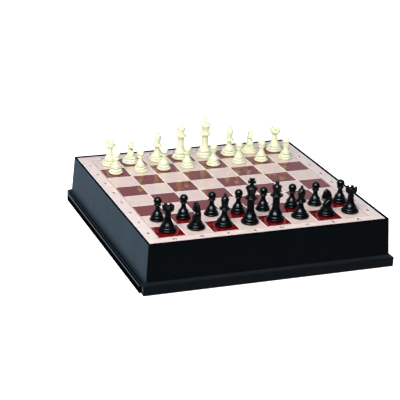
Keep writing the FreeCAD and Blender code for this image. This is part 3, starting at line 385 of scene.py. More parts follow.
# Playing board: a laminate panel laid in the case's recess. Squares and margins are one print that looks like
# two woods, with thin pale lines between the squares, under a clear gloss film.

SQUARE = 38.0
PANEL_HALF = 170.4
PANEL_UNDERSIDE = 66.2
PANEL_CORNER = 1.2
PANEL_EDGE_LINE = 2.2


def board_print():
    """Squares from the whole numbers below a place in squares; a square is dark where their sum is even. The
    grain is noise drawn out along one side, and it starts anew on each square."""
    material, place = new_finish("board_print")
    across, along, _ = place.axes()
    column = across * (1000.0 / SQUARE)
    row = along * (1000.0 / SQUARE)
    field = (abs(column) < 4.0) * (abs(row) < 4.0)
    file_number, rank_number = column.math("FLOOR"), row.math("FLOOR")
    dark = field * (1.0 - ((file_number + rank_number) * 0.5).math("FRACT") * 2.0)
    jump = place.node(
        "ShaderNodeCombineXYZ", sockets={0: file_number * 0.37 * field, 1: rank_number * 0.91 * field},
    )
    wood = place.node("ShaderNodeVectorMath", {"operation": "ADD"}, {0: place, 1: jump})
    streaks = wood.noise(160.0, 5.0, (0.55, 7.0, 1.0))
    pores = wood.noise(900.0, 3.0, (0.35, 5.0, 1.0)).ramp(0.58, 0.72)
    clouds = wood.noise(32.0, 3.0, (1.0, 2.2, 1.0))
    pale = clouds.mix(colour(0.60, 0.46, 0.425), colour(0.70, 0.545, 0.50))
    pale = field.mix(clouds.mix(colour(0.68, 0.545, 0.52), colour(0.78, 0.64, 0.61)), pale)
    pale = (streaks.ramp(0.35, 0.75) * 0.6).mix(pale, colour(0.48, 0.335, 0.28))
    red = clouds.mix(colour(0.145, 0.0012, 0.003), colour(0.190, 0.002, 0.004))
    red = (streaks.ramp(0.38, 0.70) * 0.85).mix(red, colour(0.060, 0.0008, 0.0015))
    face = dark.mix(pale, red)
    face = (pores * 0.15).mix(face, colour(0.06, 0.015, 0.01))
    near_line = abs(column.math("FRACT") - 0.5).math("MAXIMUM", abs(row.math("FRACT") - 0.5))
    face = (field * (near_line > 0.485)).mix(face, colour(0.92, 0.80, 0.72))
    reach = abs(column).math("MAXIMUM", abs(row))
    face = ((reach > 3.994) * (reach < 4.012)).mix(face, colour(0.09, 0.03, 0.025))
    face = (reach > (PANEL_HALF - PANEL_EDGE_LINE) / SQUARE).mix(face, colour(0.72, 0.71, 0.70))
    wear = place.noise(70.0, 4.0).ramp(0.4, 0.7)
    return set_finish(material, {
        "Base Color": face,
        "Roughness": 0.04 + 0.03 * wear,
        "Normal": (streaks * 0.5 + pores).bump(0.04, 0.00002),
        "IOR": 1.5,
    })


def panel_skin():
    """The panel's edge section, with its top edge broken, carried round a square with small corner arcs."""
    section = rounded([
        (0, PANEL_UNDERSIDE, 0), (PANEL_HALF, PANEL_UNDERSIDE, 0), (PANEL_HALF, BOARD_TOP, 0.4),
        (0, BOARD_TOP, 0),
    ])
    angles, sign_x, sign_y = corner_arcs(5)
    corner = np.minimum(PANEL_CORNER, section[:, :1])
    x = sign_x * (section[:, :1] - corner) + corner * np.cos(angles)
    y = sign_y * (section[:, :1] - corner) + corner * np.sin(angles)
    return skin(np.stack([x, y, np.broadcast_to(section[:, 1:], x.shape)], axis=-1))


make_piece("board_print_panel", [panel_skin()], board_print(), "case", ["board_panel"])


# Coordinates: ink screened on the margins before the film is laid, a number for each row and a letter for
# each file, small, plain and read from the near side.

MARK_HEIGHT = 5.8
MARK_LIFT = 0.01
NUMBER_COLUMN = 4.22
LETTER_ROW = 4.2


def mark_skin(sign, x, y):
    """A character's filled outline with a hair's thickness, centred on a place and scaled to the marks'
    height."""
    curve = bpy.data.curves.new("mark", "FONT")
    curve.body = sign
    curve.extrude = 0.004
    curve.offset = 0.02
    text = bpy.data.objects.new("mark", curve)
    mesh = bpy.data.meshes.new_from_object(text)
    places = np.empty(len(mesh.vertices) * 3)
    mesh.vertices.foreach_get("co", places)
    places = places.reshape(-1, 3)
    faces = [np.array([face.vertices[:]]) for face in mesh.polygons]
    low, high = places.min(axis=0), places.max(axis=0)
    places = (places - (low + high) / 2) * (MARK_HEIGHT / (high[1] - low[1]))
    bpy.data.objects.remove(text)
    bpy.data.meshes.remove(mesh)
    return places + (x, y, BOARD_TOP + MARK_LIFT), faces


def ink(name, shade):
    """Screen ink: a thin film with pinholes where the mesh of the screen left it open."""
    material, place = new_finish(name)
    pinholes = place.noise(2600.0, 2.0).ramp(0.62, 0.72)
    return set_finish(material, {
        "Base Color": (pinholes * 0.5).mix(shade, colour(0.30, 0.20, 0.18)),
        "Roughness": 0.22 + 0.1 * pinholes,
        "Normal": place.noise(1500.0).bump(0.1, 0.00001),
    })


marks = []
for step in range(8):
    along = SQUARE * (3.5 - step)
    for side in (-1, 1):
        marks.append(mark_skin(str(step + 1), side * SQUARE * NUMBER_COLUMN, along))
        marks.append(mark_skin("ABCDEFGH"[step], along, side * SQUARE * LETTER_ROW))
make_piece("board_marks", marks, ink("mark_ink", colour(0.03, 0.018, 0.02)), "case")


# Membrane and its tail: two clear films with printed silver tracks under the panel, which feel a man being
# pressed on a square; the tail drops through the deck to the circuit board.


def printed_film(name):
    """Clear amber film with silver tracks: bands that repeat across the sheet, two to a square."""
    material, place = new_finish(name)
    tracks = (place.axes()[0] * (2000.0 / SQUARE)).math("FRACT") > 0.86
    silver = tracks * (0.8 + 0.2 * place.noise(300.0))
    return set_finish(material, {
        "Base Color": silver.mix(colour(0.55, 0.42, 0.20), colour(0.62, 0.62, 0.60)),
        "Metallic": silver * 0.8,
        "Roughness": 0.28 + 0.12 * place.noise(90.0, 3.0),
        "Normal": tracks.bump(0.2, 0.00003),
    })


def dress(material, *nodes):
    """Gives CAD nodes that keep their own shape a finish."""
    for node in nodes:
        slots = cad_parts[node].data.materials
        slots.clear()
        slots.append(material)


dress(printed_film("membrane_film"), "sensor_membrane", "sensor_tail", "tray_ribbon")


# Bottom cover, battery door and feet: the cover is a black plate screwed up into the case's posts, with a bay
# for the cells, slots for the loudspeaker and rubber discs pressed on at its corners.

cover_finish = moulded_plastic(
    "cover_plastic", colour(0.0085, 0.0088, 0.0092), colour(0.015, 0.0155, 0.016), 0.55, 900.0, 0.0001,
)
dress(cover_finish, "bottom_cover", "battery_door", "tray_rails")


def rubber(name):
    """Black rubber: dull, with a dusty bloom and a coarse skin."""
    material, place = new_finish(name)
    bloom = place.noise(260.0, 4.0).ramp(0.4, 0.8)
    return set_finish(material, {
        "Base Color": bloom.mix(colour(0.012, 0.012, 0.012), colour(0.045, 0.043, 0.040)),
        "Roughness": 0.75 + 0.15 * bloom,
        "Normal": place.noise(2200.0, 4.0).bump(0.4, 0.0001),
    })


def full_turn(around):
    """Even angles round a whole turn."""
    return np.linspace(0, 2 * math.pi, around, endpoint=False)


def turn_grid(outline, angles):
    """An outline of (radius, height) turned about the upright axis, one ring for each of its places."""
    radius, up = outline[:, :1], outline[:, 1:]
    x, y = radius * np.cos(angles), radius * np.sin(angles)
    return np.stack([x, y, np.broadcast_to(up, x.shape)], axis=-1)


FOOT_PLACE = 144.55
foot_section = rounded([
    (0, 0.15, 0), (4.5, 0.15, 0.2), (5.2, 0.0, 0.2), (8.0, 0.0, 0.5), (7.8, PLINTH_BOTTOM, 0.1),
    (0, PLINTH_BOTTOM, 0),
])
foot_disc = turn_grid(foot_section, full_turn(40))
feet = [skin(foot_disc + (x, y, 0)) for x in (-FOOT_PLACE, FOOT_PLACE) for y in (-FOOT_PLACE, FOOT_PLACE)]
make_piece("feet_rubber", feet, rubber("foot_rubber"), "case", ["rubber_feet"])


def metal(name, low, high, roughness):
    """Bare metal: fine marks and dull patches in the polish."""
    material, place = new_finish(name)
    drawn = place.noise(900.0, 3.0)
    patches = place.noise(150.0, 4.0).ramp(0.35, 0.7)
    return set_finish(material, {
        "Base Color": patches.mix(low, high),
        "Metallic": 1.0,
        "Roughness": roughness + 0.18 * patches,
        "Normal": drawn.bump(0.15, 0.00003),
    })


screw_finish = metal("screw_zinc", colour(0.42, 0.41, 0.38), colour(0.60, 0.59, 0.56), 0.3)
dress(screw_finish, "cover_screws", "board_screws")


# Electronics: a green circuit board on the cover's posts with its processor, memory and connector, a small
# loudspeaker behind the slots, and cells between sprung contacts.


def circuit_laminate(name):
    """Green solder mask over copper: tracks are bands of a stretched noise, a little raised and lighter."""
    material, place = new_finish(name)
    tracks = place.noise(320.0, 0.0, (0.4, 2.6, 1.0)).ramp(0.52, 0.55)
    pads = place.noise(700.0, 0.0).ramp(0.70, 0.72)
    face = tracks.mix(colour(0.008, 0.07, 0.03), colour(0.02, 0.14, 0.05))
    return set_finish(material, {
        "Base Color": pads.mix(face, colour(0.45, 0.43, 0.38)),
        "Metallic": pads * 0.8,
        "Roughness": 0.32 + 0.1 * place.noise(400.0),
        "Normal": (tracks + pads).bump(0.3, 0.00005),
    })


dress(circuit_laminate("circuit_green"), "main_circuit_board", "tray_circuit_board")
chip_finish = moulded_plastic("chip_epoxy", colour(0.010, 0.010, 0.011), colour(0.022, 0.022, 0.023), 0.6)
dress(chip_finish, "circuit_chips")
dress(metal("speaker_plate", colour(0.30, 0.30, 0.29), colour(0.44, 0.44, 0.43), 0.38), "loudspeaker")
dress(metal("contact_steel", colour(0.55, 0.54, 0.52), colour(0.70, 0.69, 0.67), 0.22), "battery_contacts")


CELL_BAND = 47.0


def cell_jacket(name):
    """Printed cell jacket: a dark sleeve with a paler band at one end and a faint lengthwise seam."""
    material, place = new_finish(name)
    band = place.axes()[0] > CELL_BAND * MM
    return set_finish(material, {
        "Base Color": band.mix(colour(0.02, 0.022, 0.025), colour(0.42, 0.22, 0.06)),
        "Metallic": 0.35,
        "Roughness": 0.30 + 0.1 * place.noise(300.0),
        "Normal": place.noise(800.0, 2.0, (0.2, 2.0, 2.0)).bump(0.1, 0.00003),
    })


dress(cell_jacket("cell_jacket"), "battery_cells")


# Control tray: a shallow black pan that slides out of the left of the plinth behind a front plate, with the
# keypad, the display and the power switch in its outer half. The plate is clipped to the pan by a neck, and
# the keys are caps on a rubber mat under a thin panel.

tray_finish = moulded_plastic(
    "tray_satin", colour(0.0024, 0.0030, 0.0036), colour(0.004, 0.005, 0.006), 0.62,
    sockets={"Specular IOR Level": 0.2},
)
dress(tray_finish, "control_tray")

PLATE_FRONT, PLATE_BACK = -184.0, -181.85
PLATE_BOTTOM, PLATE_TOP = 1.6, 12.5
PLATE_SHINE_FROM, PLATE_SHINE_FULL = 10.8, 11.4
NECK_HALF = SLOT_HALF - 8


def tray_face(name):
    """Dull black, rubbed bright along the top edge, where a finger pulls."""
    material, place = new_finish(name)
    edge = place.axes()[2].ramp(PLATE_SHINE_FROM * MM, PLATE_SHINE_FULL * MM)
    return set_finish(material, {
        "Base Color": place.noise(45.0, 3.0).mix(*DULL_BLACK),
        "Roughness": 0.7 + 0.1 * place.noise(120.0, 4.0),
        "Specular IOR Level": 0.0,
        "Coat Weight": edge,
        "Coat Roughness": 0.12,
        "Coat IOR": 3.0,
        "Normal": place.noise(1800.0, 3.0).bump(0.2, 0.00004),
    })


plate = rounded([
    (PLATE_BACK, PLATE_BOTTOM, 0), (PLATE_FRONT, PLATE_BOTTOM, 0.5), (PLATE_FRONT, PLATE_TOP, 1.5),
    (PLATE_BACK, PLATE_TOP, 0),
])
neck = [(-182.0, 3.2), (-182.0, 7.8), (-179.1, 7.8), (-179.1, 3.2)]
make_piece(
    "tray_front", [bar_skin(plate, STRIP_HALF), bar_skin(neck, NECK_HALF)], tray_face("tray_face_dull"),
    "tray", sharp=40,
)
panel_finish = moulded_plastic(
    "panel_grey", colour(0.055, 0.058, 0.062), colour(0.075, 0.078, 0.082), 0.42, 1400.0,
)
dress(panel_finish, "control_panel")
dress(rubber("mat_rubber"), "key_mat")

KEYPAD_X = -152.55
KEY_WIDTH, KEY_LENGTH, KEY_CORNER = 10.0, 16.0, 1.2
KEY_FLANGE = 0.6
KNOB_WIDTH, KNOB_LENGTH, KNOB_CORNER = 4.0, 5.0, 0.5
KNOB_RISE = 1.4
KEY_PLACES = {
    "new_game_key": -104.0, "level_key": -78.0, "sound_key": -52.0,
    "take_back_key": 52.0, "hint_key": 78.0, "move_key": 104.0,
}


def cap_skin(x, y, width, length, flange_low, flange_high, top, corner):
    """A key: a flange, then a cap with a rounded top edge and a slightly dished face, carried round a rounded
    rectangle. Each row has its own distance outside the cap's side and its own height."""
    rows = np.vstack([
        [(-min(width, length) / 2, flange_low), (1.0, flange_low), (1.0, flange_high), (0.0, flange_high)],
        rounded([(0.0, flange_high + 0.1, 0), (0.0, top, 0.5), (-1.6, top, 0.4), (-2.2, top - 0.12, 0)])[1:],
        [(-min(width, length) / 2, top - 0.2)],
    ])
    angles, sign_x, sign_y = corner_arcs(9)
    outward = rows[:, :1]
    arc = np.maximum(corner + outward, 0.05)
    half_x = np.maximum(width / 2 + outward - arc, 0.0)
    half_y = np.maximum(length / 2 + outward - arc, 0.0)
    spread_x = x + sign_x * half_x + arc * np.cos(angles)
    spread_y = y + sign_y * half_y + arc * np.sin(angles)
    grid = np.stack([spread_x, spread_y, np.broadcast_to(rows[:, 1:], spread_x.shape)], axis=-1)
    grid[[0, -1], :, :2] = x, y
    return skin(grid)


key_finish = moulded_plastic("key_ivory", colour(0.42, 0.41, 0.36), colour(0.52, 0.51, 0.46), 0.36)
accent_finish = moulded_plastic("key_red", colour(0.20, 0.012, 0.016), colour(0.27, 0.02, 0.022), 0.36)
for key, place_y in KEY_PLACES.items():
    low, high = (np.array(corner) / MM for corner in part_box(key))
    cap = cap_skin(
        KEYPAD_X, place_y, KEY_WIDTH, KEY_LENGTH, low[2], low[2] + KEY_FLANGE, high[2], KEY_CORNER,
    )
    finish = accent_finish if key == "move_key" else key_finish
    make_piece(f"{key}_cap", [cap], finish, key, [key])

low, high = (np.array(corner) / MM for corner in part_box("power_switch"))
knob = cap_skin(
    KEYPAD_X, (low[1] + high[1]) / 2, KNOB_WIDTH, KNOB_LENGTH, low[2], high[2] - KNOB_RISE, high[2],
    KNOB_CORNER,
)
make_piece("power_switch_knob", [knob], accent_finish, "power_switch", ["power_switch"])


WINDOW_HALF_X, WINDOW_HALF_Y = 8.8, 27.5
DOTS_PER_METRE = 1600.0


def display_face(name):
    """A grey-green liquid crystal under clear plastic: a fine dot pattern inside a dark border."""
    material, place = new_finish(name)
    across, along, _ = place.axes()
    inside = (abs(across - KEYPAD_X * MM) < WINDOW_HALF_X * MM) * (abs(along) < WINDOW_HALF_Y * MM)
    dots_x, dots_y = ((way * DOTS_PER_METRE).math("FRACT") > 0.18 for way in (across, along))
    dots = inside * dots_x * dots_y
    face = inside.mix(colour(0.02, 0.021, 0.022), colour(0.27, 0.31, 0.22))
    return set_finish(material, {
        "Base Color": (dots * 0.35).mix(face, colour(0.20, 0.235, 0.165)),
        "Roughness": 0.08 + 0.04 * place.noise(200.0),
        "Normal": place.noise(500.0).bump(0.03, 0.00002),
    })


dress(display_face("display_grey_green"), "display_glass")


# Chessmen: turned patterns with stepped feet, each moulded in one piece in ivory or black plastic with
# polished faces. They stand loose on the squares, so each one rides on a body of its own.

ROUND_CORNER = math.tan(math.pi / 8)


def turned_outline(corners, step=0.42, soften=0.2):
    """The half outline of a turned man. Runs and arcs join the corners, given as (radius, height, bulge),
    where an arc's bulge is the tangent of a quarter of its angle. Evenly spaced places along it are then
    averaged with their neighbours by a bell curve, so that every edge is a little round, as on a moulding."""
    spots = np.array([corner[:2] for corner in corners], float)
    trail = []
    for start, end, corner in zip(spots, spots[1:], corners):
        bulge = corner[2] if len(corner) > 2 else 0.0
        share = np.linspace(0, 1, 24, endpoint=False)
        if not bulge:
            trail.append(start + (end - start) * share[:, None])
            continue
        chord = end - start
        middle = (start + end) / 2 + np.array([-chord[1], chord[0]]) * (1 - bulge ** 2) / (4 * bulge)
        turn = 4 * math.atan(bulge) * share
        arm = start - middle
        trail.append(middle + np.stack([
            arm[0] * np.cos(turn) - arm[1] * np.sin(turn), arm[0] * np.sin(turn) + arm[1] * np.cos(turn),
        ], axis=-1))
    trail = np.vstack([*trail, spots[-1:]])
    along = np.concatenate([[0], np.cumsum(np.linalg.norm(np.diff(trail, axis=0), axis=1))])
    count = int(along[-1] / step)
    spread = np.linspace(0, along[-1], count)
    outline = np.stack([np.interp(spread, along, trail[:, axis]) for axis in (0, 1)], axis=-1)
    width = 3 * math.ceil(soften / (along[-1] / count)) + 1
    bell = np.exp(-0.5 * (np.arange(-width, width + 1) * (along[-1] / count) / soften) ** 2)
    mirror = np.array([-1.0, 1.0])
    padded = np.vstack([outline[width:0:-1] * mirror, outline, outline[-2:-width - 2:-1] * mirror])
    smooth = np.stack([np.convolve(padded[:, axis], bell / bell.sum(), "valid") for axis in (0, 1)], axis=-1)
    smooth[[0, -1], 0] = 0.0
    return smooth


def foot(base, tier, disc, dome, top):
    """The stepped foot: a disc tucked in below its rim, a round step that narrows to the tier, and a bead,
    with a groove turned in above each."""
    rim, tier = base / 2, tier / 2
    return [
        (0, 0), (rim - 1.1, 0, 0.3), (rim, 1.3), (rim, disc - 1.0, ROUND_CORNER), (rim - 1.0, disc),
        (rim - 3.2, disc + 0.1), (rim - 3.2, disc + 1.0), (rim - 1.7, disc + 1.1, 0.32), (tier + 0.6, dome),
        (tier - 1.0, dome + 0.1), (tier - 1.0, dome + 0.9), (tier + 0.1, dome + 1.0, 0.8),
        (tier + 0.1, top - 0.9), (tier - 1.2, top - 0.8), (tier - 1.2, top - 0.1),
    ]


def stem(bottom, foot_width, width, height, sweep, bend=-0.15):
    """A stem that sweeps in from its foot over a share of its height and then rises straight."""
    return [
        (foot_width / 2, bottom, bend), (width / 2, bottom + height * sweep), (width / 2, bottom + height),
    ]


def collar(bottom, width, height):
    """A disc with a round edge."""
    return [((width - height) / 2, bottom, 0.8), ((width - height) / 2, bottom + height)]


def ball(bottom, width, neck):
    """A ball on its neck."""
    centre = bottom + math.sqrt(width ** 2 - neck ** 2) / 2
    sweep = math.pi - math.asin(neck / width)
    return [(neck / 2, bottom, math.tan(sweep / 4)), (0, centre + width / 2)]


OFFICER_TOP = 9.8
OFFICER_FOOT = foot(24.6, 16.0, 3.5, 6.6, OFFICER_TOP)
ROYAL_TOP = 10.8
ROYAL_FOOT = foot(24.6, 16.4, 3.5, 7.2, ROYAL_TOP)
PAWN_TOP = 10.8


def pawn_grids():
    """A turned man with a ball on a collar."""
    outline = foot(20.6, 13.0, 3.0, 7.0, PAWN_TOP) + stem(PAWN_TOP, 12.6, 6.2, 10.3, 0.8, -0.2)
    outline += collar(21.1, 10.4, 2.0) + [(4.0, 23.1)] + ball(23.7, 11.4, 8.0)
    return [turn_grid(turned_outline(outline), full_turn(48))]


CROSS_HALF = 1.4
CROSS_EDGE = 0.55


def cross_grid(foot_height):
    """The king's cross: the outline of four flared arms, drawn in towards its middle and out again over the
    thickness, so that its edges are round."""
    right = np.array([
        (2.9, -1.6), (2.4, 3.1), (5.3, 2.5), (5.3, 6.7), (2.4, 6.2), (4.1, 9.8),
    ])
    outline = np.vstack([right, right[::-1] * (-1, 1), right[:1]])
    along = np.concatenate([[0], np.cumsum(np.linalg.norm(np.diff(outline, axis=0), axis=1))])
    spread = np.linspace(0, along[-1], 121)[:-1]
    edge = np.stack([np.interp(spread, along, outline[:, axis]) for axis in (0, 1)], axis=-1)
    heart = np.array([0.0, 4.7])
    inward = heart - edge
    inward /= np.linalg.norm(inward, axis=1)[:, None]
    bend = np.radians(np.linspace(0, 180, 9))
    inset = CROSS_EDGE * (1 - np.sin(bend))
    depth = CROSS_EDGE * (1 - np.cos(bend)) / 2 - CROSS_HALF
    half = len(bend) // 2
    inset = np.concatenate([inset[:half + 1], inset[half:]])
    depth = np.concatenate([depth[:half + 1], -depth[half::-1]])
    rim = edge + inward * inset[:, None, None]
    rows = np.concatenate([
        np.broadcast_to(heart, (1, *edge.shape)), heart + (rim[:1] - heart) * 0.5, rim,
        heart + (rim[-1:] - heart) * 0.5, np.broadcast_to(heart, (1, *edge.shape)),
    ])
    depth = np.concatenate([[depth[0], depth[0]], depth, [depth[-1], depth[-1]]])
    y = np.broadcast_to(depth[:, None], rows.shape[:2])
    return np.stack([rows[..., 0], y, rows[..., 1] + foot_height], axis=-1)


def king_grids():
    """A turned man with three collars and a flared crown, and a cross that stands on it."""
    top = 53.6
    outline = ROYAL_FOOT + stem(ROYAL_TOP, 17.8, 10.1, 22.6, 0.42)
    outline += collar(33.4, 14.4, 1.4) + collar(34.8, 18.4, 2.6) + collar(37.4, 12.6, 1.4)
    outline += [(5.2, 39.0), (5.1, 40.8, -0.06), (8.1, 49.4), (8.1, 50.5, 0.2), (2.6, top), (0, top)]
    return [turn_grid(turned_outline(outline), full_turn(64)), cross_grid(top)]


def queen_grids():
    """A turned man whose coronet's rim is lowered at eight places by the depth of a round notch."""
    well, top = 47.2, 48.6
    rim_radius, notch_radius, notch_reach = 6.7, 1.5, 1.6
    outline = ROYAL_FOOT + stem(ROYAL_TOP, 17.4, 10.1, 22.6, 0.40)
    outline += collar(33.4, 14.0, 1.2) + collar(34.6, 18.2, 2.4) + collar(37.0, 11.6, 1.2)
    outline += [(4.9, 38.4, -0.06), (7.0, top), (5.7, top), (5.7, well, 0.16)] + ball(51.8, 5.6, 4.0)
    angles = full_turn(112)
    grid = turn_grid(turned_outline(outline, 0.36, 0.15), angles)
    aside = rim_radius * (np.mod(angles + math.pi / 8, math.pi / 4) - math.pi / 8)
    notch = np.sqrt(np.maximum(notch_radius ** 2 - aside ** 2, 0.0))
    radius = np.hypot(grid[..., 0], grid[..., 1])
    rim = (radius > 5.2) & (grid[..., 2] > top - notch_reach) & (grid[..., 2] < top + 0.2)
    lowered = top - notch_reach + (grid[..., 2] - top + notch_reach) * (1 - 0.98 * notch / notch_reach)
    grid[..., 2] = np.where(rim, lowered, grid[..., 2])
    return [grid]


def bishop_grids():
    """A turned man with a slit in the mitre: places near a slanted plane on one side are drawn in."""
    mitre, widest = 26.2, 36.0
    outline = OFFICER_FOOT + stem(OFFICER_TOP, 14.8, 7.2, 12.8, 0.75, -0.17)
    outline += collar(22.6, 15.4, 2.0) + collar(24.6, 12.2, 1.6)
    outline += [(4.0, mitre, 0.02), (5.45, widest, 0.34)] + ball(42.0, 4.2, 2.4)
    grid = turn_grid(turned_outline(outline, 0.3, 0.18), full_turn(88))
    x, up = grid[..., 0], grid[..., 2]
    across = np.array([-0.74, 0.67])
    off_plane = (x - 2.0) * across[0] + (up - widest - 0.2) * across[1]
    near = np.exp(-(off_plane / 0.42) ** 4) * (x > 1.2) * (up > widest - 1.5) * (up < widest + 6.5)
    depth = near * np.clip((x - 1.2) / 0.8, 0, 1) * 1.1
    radius = np.maximum(np.hypot(x, grid[..., 1]), 0.01)
    grid[..., :2] *= (1 - depth / np.maximum(radius, 1.4))[..., None]
    return [grid]


def rook_grids():
    """A turned man with six crenels: over each one the crown's wall above the crenel's floor is pressed
    down."""
    neck, crown, top = 27.0, 30.2, 36.4
    outline = OFFICER_FOOT + stem(OFFICER_TOP, 15.6, 8.4, 17.2, 0.65)
    outline += [(5.2, neck, 0.1), (8.1, crown), (8.1, top), (5.6, top), (5.6, top - 3.8), (0, top - 3.8)]
    half = math.asin(1.5 / 6.4)
    period = np.concatenate([
        np.linspace(-half, half, 6), [half + 0.012], np.linspace(half, math.pi / 3 - half, 9)[1:-1],
        [math.pi / 3 - half - 0.012],
    ])
    angles = np.concatenate([period + turn * math.pi / 3 for turn in range(6)])
    open_here = np.tile(np.arange(len(period)) < 6, 6)
    grid = turn_grid(turned_outline(outline, 0.4, 0.16), angles)
    floor = top - 2.8
    above = grid[..., 2] > floor
    grid[..., 2] = np.where(above & open_here, floor + (grid[..., 2] - floor) * 0.02, grid[..., 2])
    return [grid]


def knight_grids():
    """A turned foot, and a head of level slices. A slice reaches from the back line to the face line at its
    height, and its outline is a rounded lozenge between an ellipse and a box. Cheek, eye, nostril, mouth and
    mane are then pressed in or out of its sides as bell-shaped bumps. The ears are small turned tips."""
    base = turn_grid(turned_outline(OFFICER_FOOT + [(0, OFFICER_TOP)]), full_turn(56))
    up = np.concatenate([np.linspace(-1.5, 26.0, 94), np.linspace(26.2, 26.8, 4)])
    face_up = [-1.6, 2.0, 6.2, 8.8, 11.4, 13.2, 13.5, 13.8, 14.2, 15.4, 18.0, 21.2, 23.6, 25.4, 26.8]
    face = [5.6, 5.9, 5.6, 3.5, 1.0, -2.2, 2.6, 6.8, 8.3, 8.8, 8.0, 6.8, 6.2, 5.2, 3.0]
    back_up = [-1.6, 6.1, 11.7, 16.2, 18.1, 21.2, 23.0, 25.2, 26.8]
    back = [-5.8, -6.5, -6.6, -6.3, -5.9, -4.8, -3.8, -2.2, 0.6]
    wide_up = [-1.6, 3.0, 8.0, 12.0, 16.4, 21.0, 25.0, 26.0]
    wide = [5.0, 4.9, 4.3, 3.7, 3.5, 3.0, 2.5, 1.5]
    bell = np.exp(-0.5 * (np.arange(-6, 7) / 1.2) ** 2)
    bell /= bell.sum()

    def line(heights, reach):
        """A reach at every slice, averaged with its neighbours by the bell curve."""
        eased = np.interp(up, heights, reach)
        return np.convolve(np.pad(eased, 6, "edge"), bell, "valid")

    front, rear, half = line(face_up, face), line(back_up, back), line(wide_up, wide)
    angles = full_turn(72)
    blunt = 0.62
    ahead, side = (np.sign(wave) * np.abs(wave) ** blunt for wave in (np.cos(angles), np.sin(angles)))
    x = (front + rear)[:, None] / 2 + (front - rear)[:, None] / 2 * ahead
    height = np.broadcast_to(up[:, None], x.shape)

    def bump(at_x, at_up, size_x, size_up):
        """1 at a place on the side, falling off as a bell curve along and up."""
        return np.exp(-((x - at_x) / size_x) ** 2 - ((height - at_up) / size_up) ** 2)

    from_back = x - rear[:, None]
    waves = 0.5 + 0.5 * np.cos((height - 0.45 * from_back) * 2 * math.pi / 2.7)
    mane = np.clip((height - 4) / 3, 0, 1) * np.clip((26 - height) / 2, 0, 1)
    cheek, eye, nostril = bump(0.8, 17.5, 3.6, 3.6), bump(3.7, 21.6, 0.9, 0.7), bump(8.3, 17.8, 0.7, 0.6)
    swell = 0.75 * cheek + 0.55 * eye - 0.5 * nostril
    swell -= 0.45 * np.exp(-((height - 15.9 - 0.12 * (x - 9)) / 0.35) ** 2) * np.clip((x - 5.8) / 1.2, 0, 1)
    swell -= 0.55 * mane * np.exp(-((from_back - 3.4) / 0.5) ** 2)
    swell -= 0.45 * mane * waves * np.exp(-(from_back / 2.8) ** 4)
    muzzle = 1 - 0.28 * np.clip((x - 2.5) / 6.5, 0, 1) * np.clip((height - 11) / 3, 0, 1)
    y = (half[:, None] * muzzle + swell * np.abs(side)) * side
    x = x - 0.3 * mane * waves * np.exp(-(from_back / 1.2) ** 2)
    head = np.stack([x, y, height + OFFICER_TOP], axis=-1)
    low = np.broadcast_to(head[:1].mean(axis=1, keepdims=True), head[:1].shape)
    high = np.broadcast_to(head[-1:].mean(axis=1, keepdims=True), head[-1:].shape)
    grids = [base, np.concatenate([low, head, high])]
    share = np.linspace(0, 1, 12)
    ear_foot, ear_height = 23.8, 4.0
    ear_radius = 1.35 * np.sqrt(np.clip(1 - share, 0, 1)) * (0.75 + 0.5 * share * (1 - share))
    ear = np.stack([ear_radius, ear_foot + ear_height * share], axis=-1)
    ear = np.vstack([[(0, ear_foot)], ear])
    for side_sign in (-1, 1):
        grid = turn_grid(ear, full_turn(20))
        grid[..., 0] = grid[..., 0] * 1.25 + 1.0 + 0.22 * (grid[..., 2] - ear_foot)
        grid[..., 1] = grid[..., 1] * 0.75 + side_sign * 1.55
        grid[..., 2] += OFFICER_TOP
        grids.append(grid)
    return grids


def men_plastic(name, dark, light, roughness, sockets):
    """Polished moulding: faint swirls where the plastic flowed, a fine mould polish, and fingermarks."""
    material, place = new_finish(name)
    swirl = place.noise(130.0, 4.0, (1.0, 1.0, 0.5))
    polish = place.noise(700.0, 3.0, (1.0, 1.0, 4.0))
    fingers = place.noise(220.0, 4.0).ramp(0.45, 0.75)
    return set_finish(material, {
        "Base Color": swirl.ramp(0.3, 0.7).mix(dark, light),
        "Roughness": roughness * (0.85 + 0.4 * fingers),
        "Normal": polish.bump(0.12, 0.00004),
        **dict(sockets),
    })


MEN_FINISHES = {
    "black": men_plastic(
        "men_black", colour(0.0005, 0.0007, 0.0009), colour(0.0011, 0.0014, 0.0017), 0.29,
        {"Specular IOR Level": 0.2, "Specular Tint": colour(0.80, 0.92, 1.0)},
    ),
    "ivory": men_plastic(
        "men_ivory", colour(0.70, 0.71, 0.50), colour(0.75, 0.755, 0.55), 0.42, {
            "Subsurface Weight": 0.8, "Subsurface Radius": (1.0, 0.9, 0.6), "Subsurface Scale": 0.0015,
            "Specular IOR Level": 0.2,
        },
    ),
}
PATTERNS = {
    "king": king_grids(), "queen": queen_grids(), "bishop": bishop_grids(),
    "rook": rook_grids(), "knight": knight_grids(), "pawn": pawn_grids(),
}


def pawn_row(aside, beyond):
    """Eight pawns from the left, each with its own shifts."""
    return [(file, "pawn", right, far, 0) for file, right, far in zip("hgfedcba", aside, beyond)]


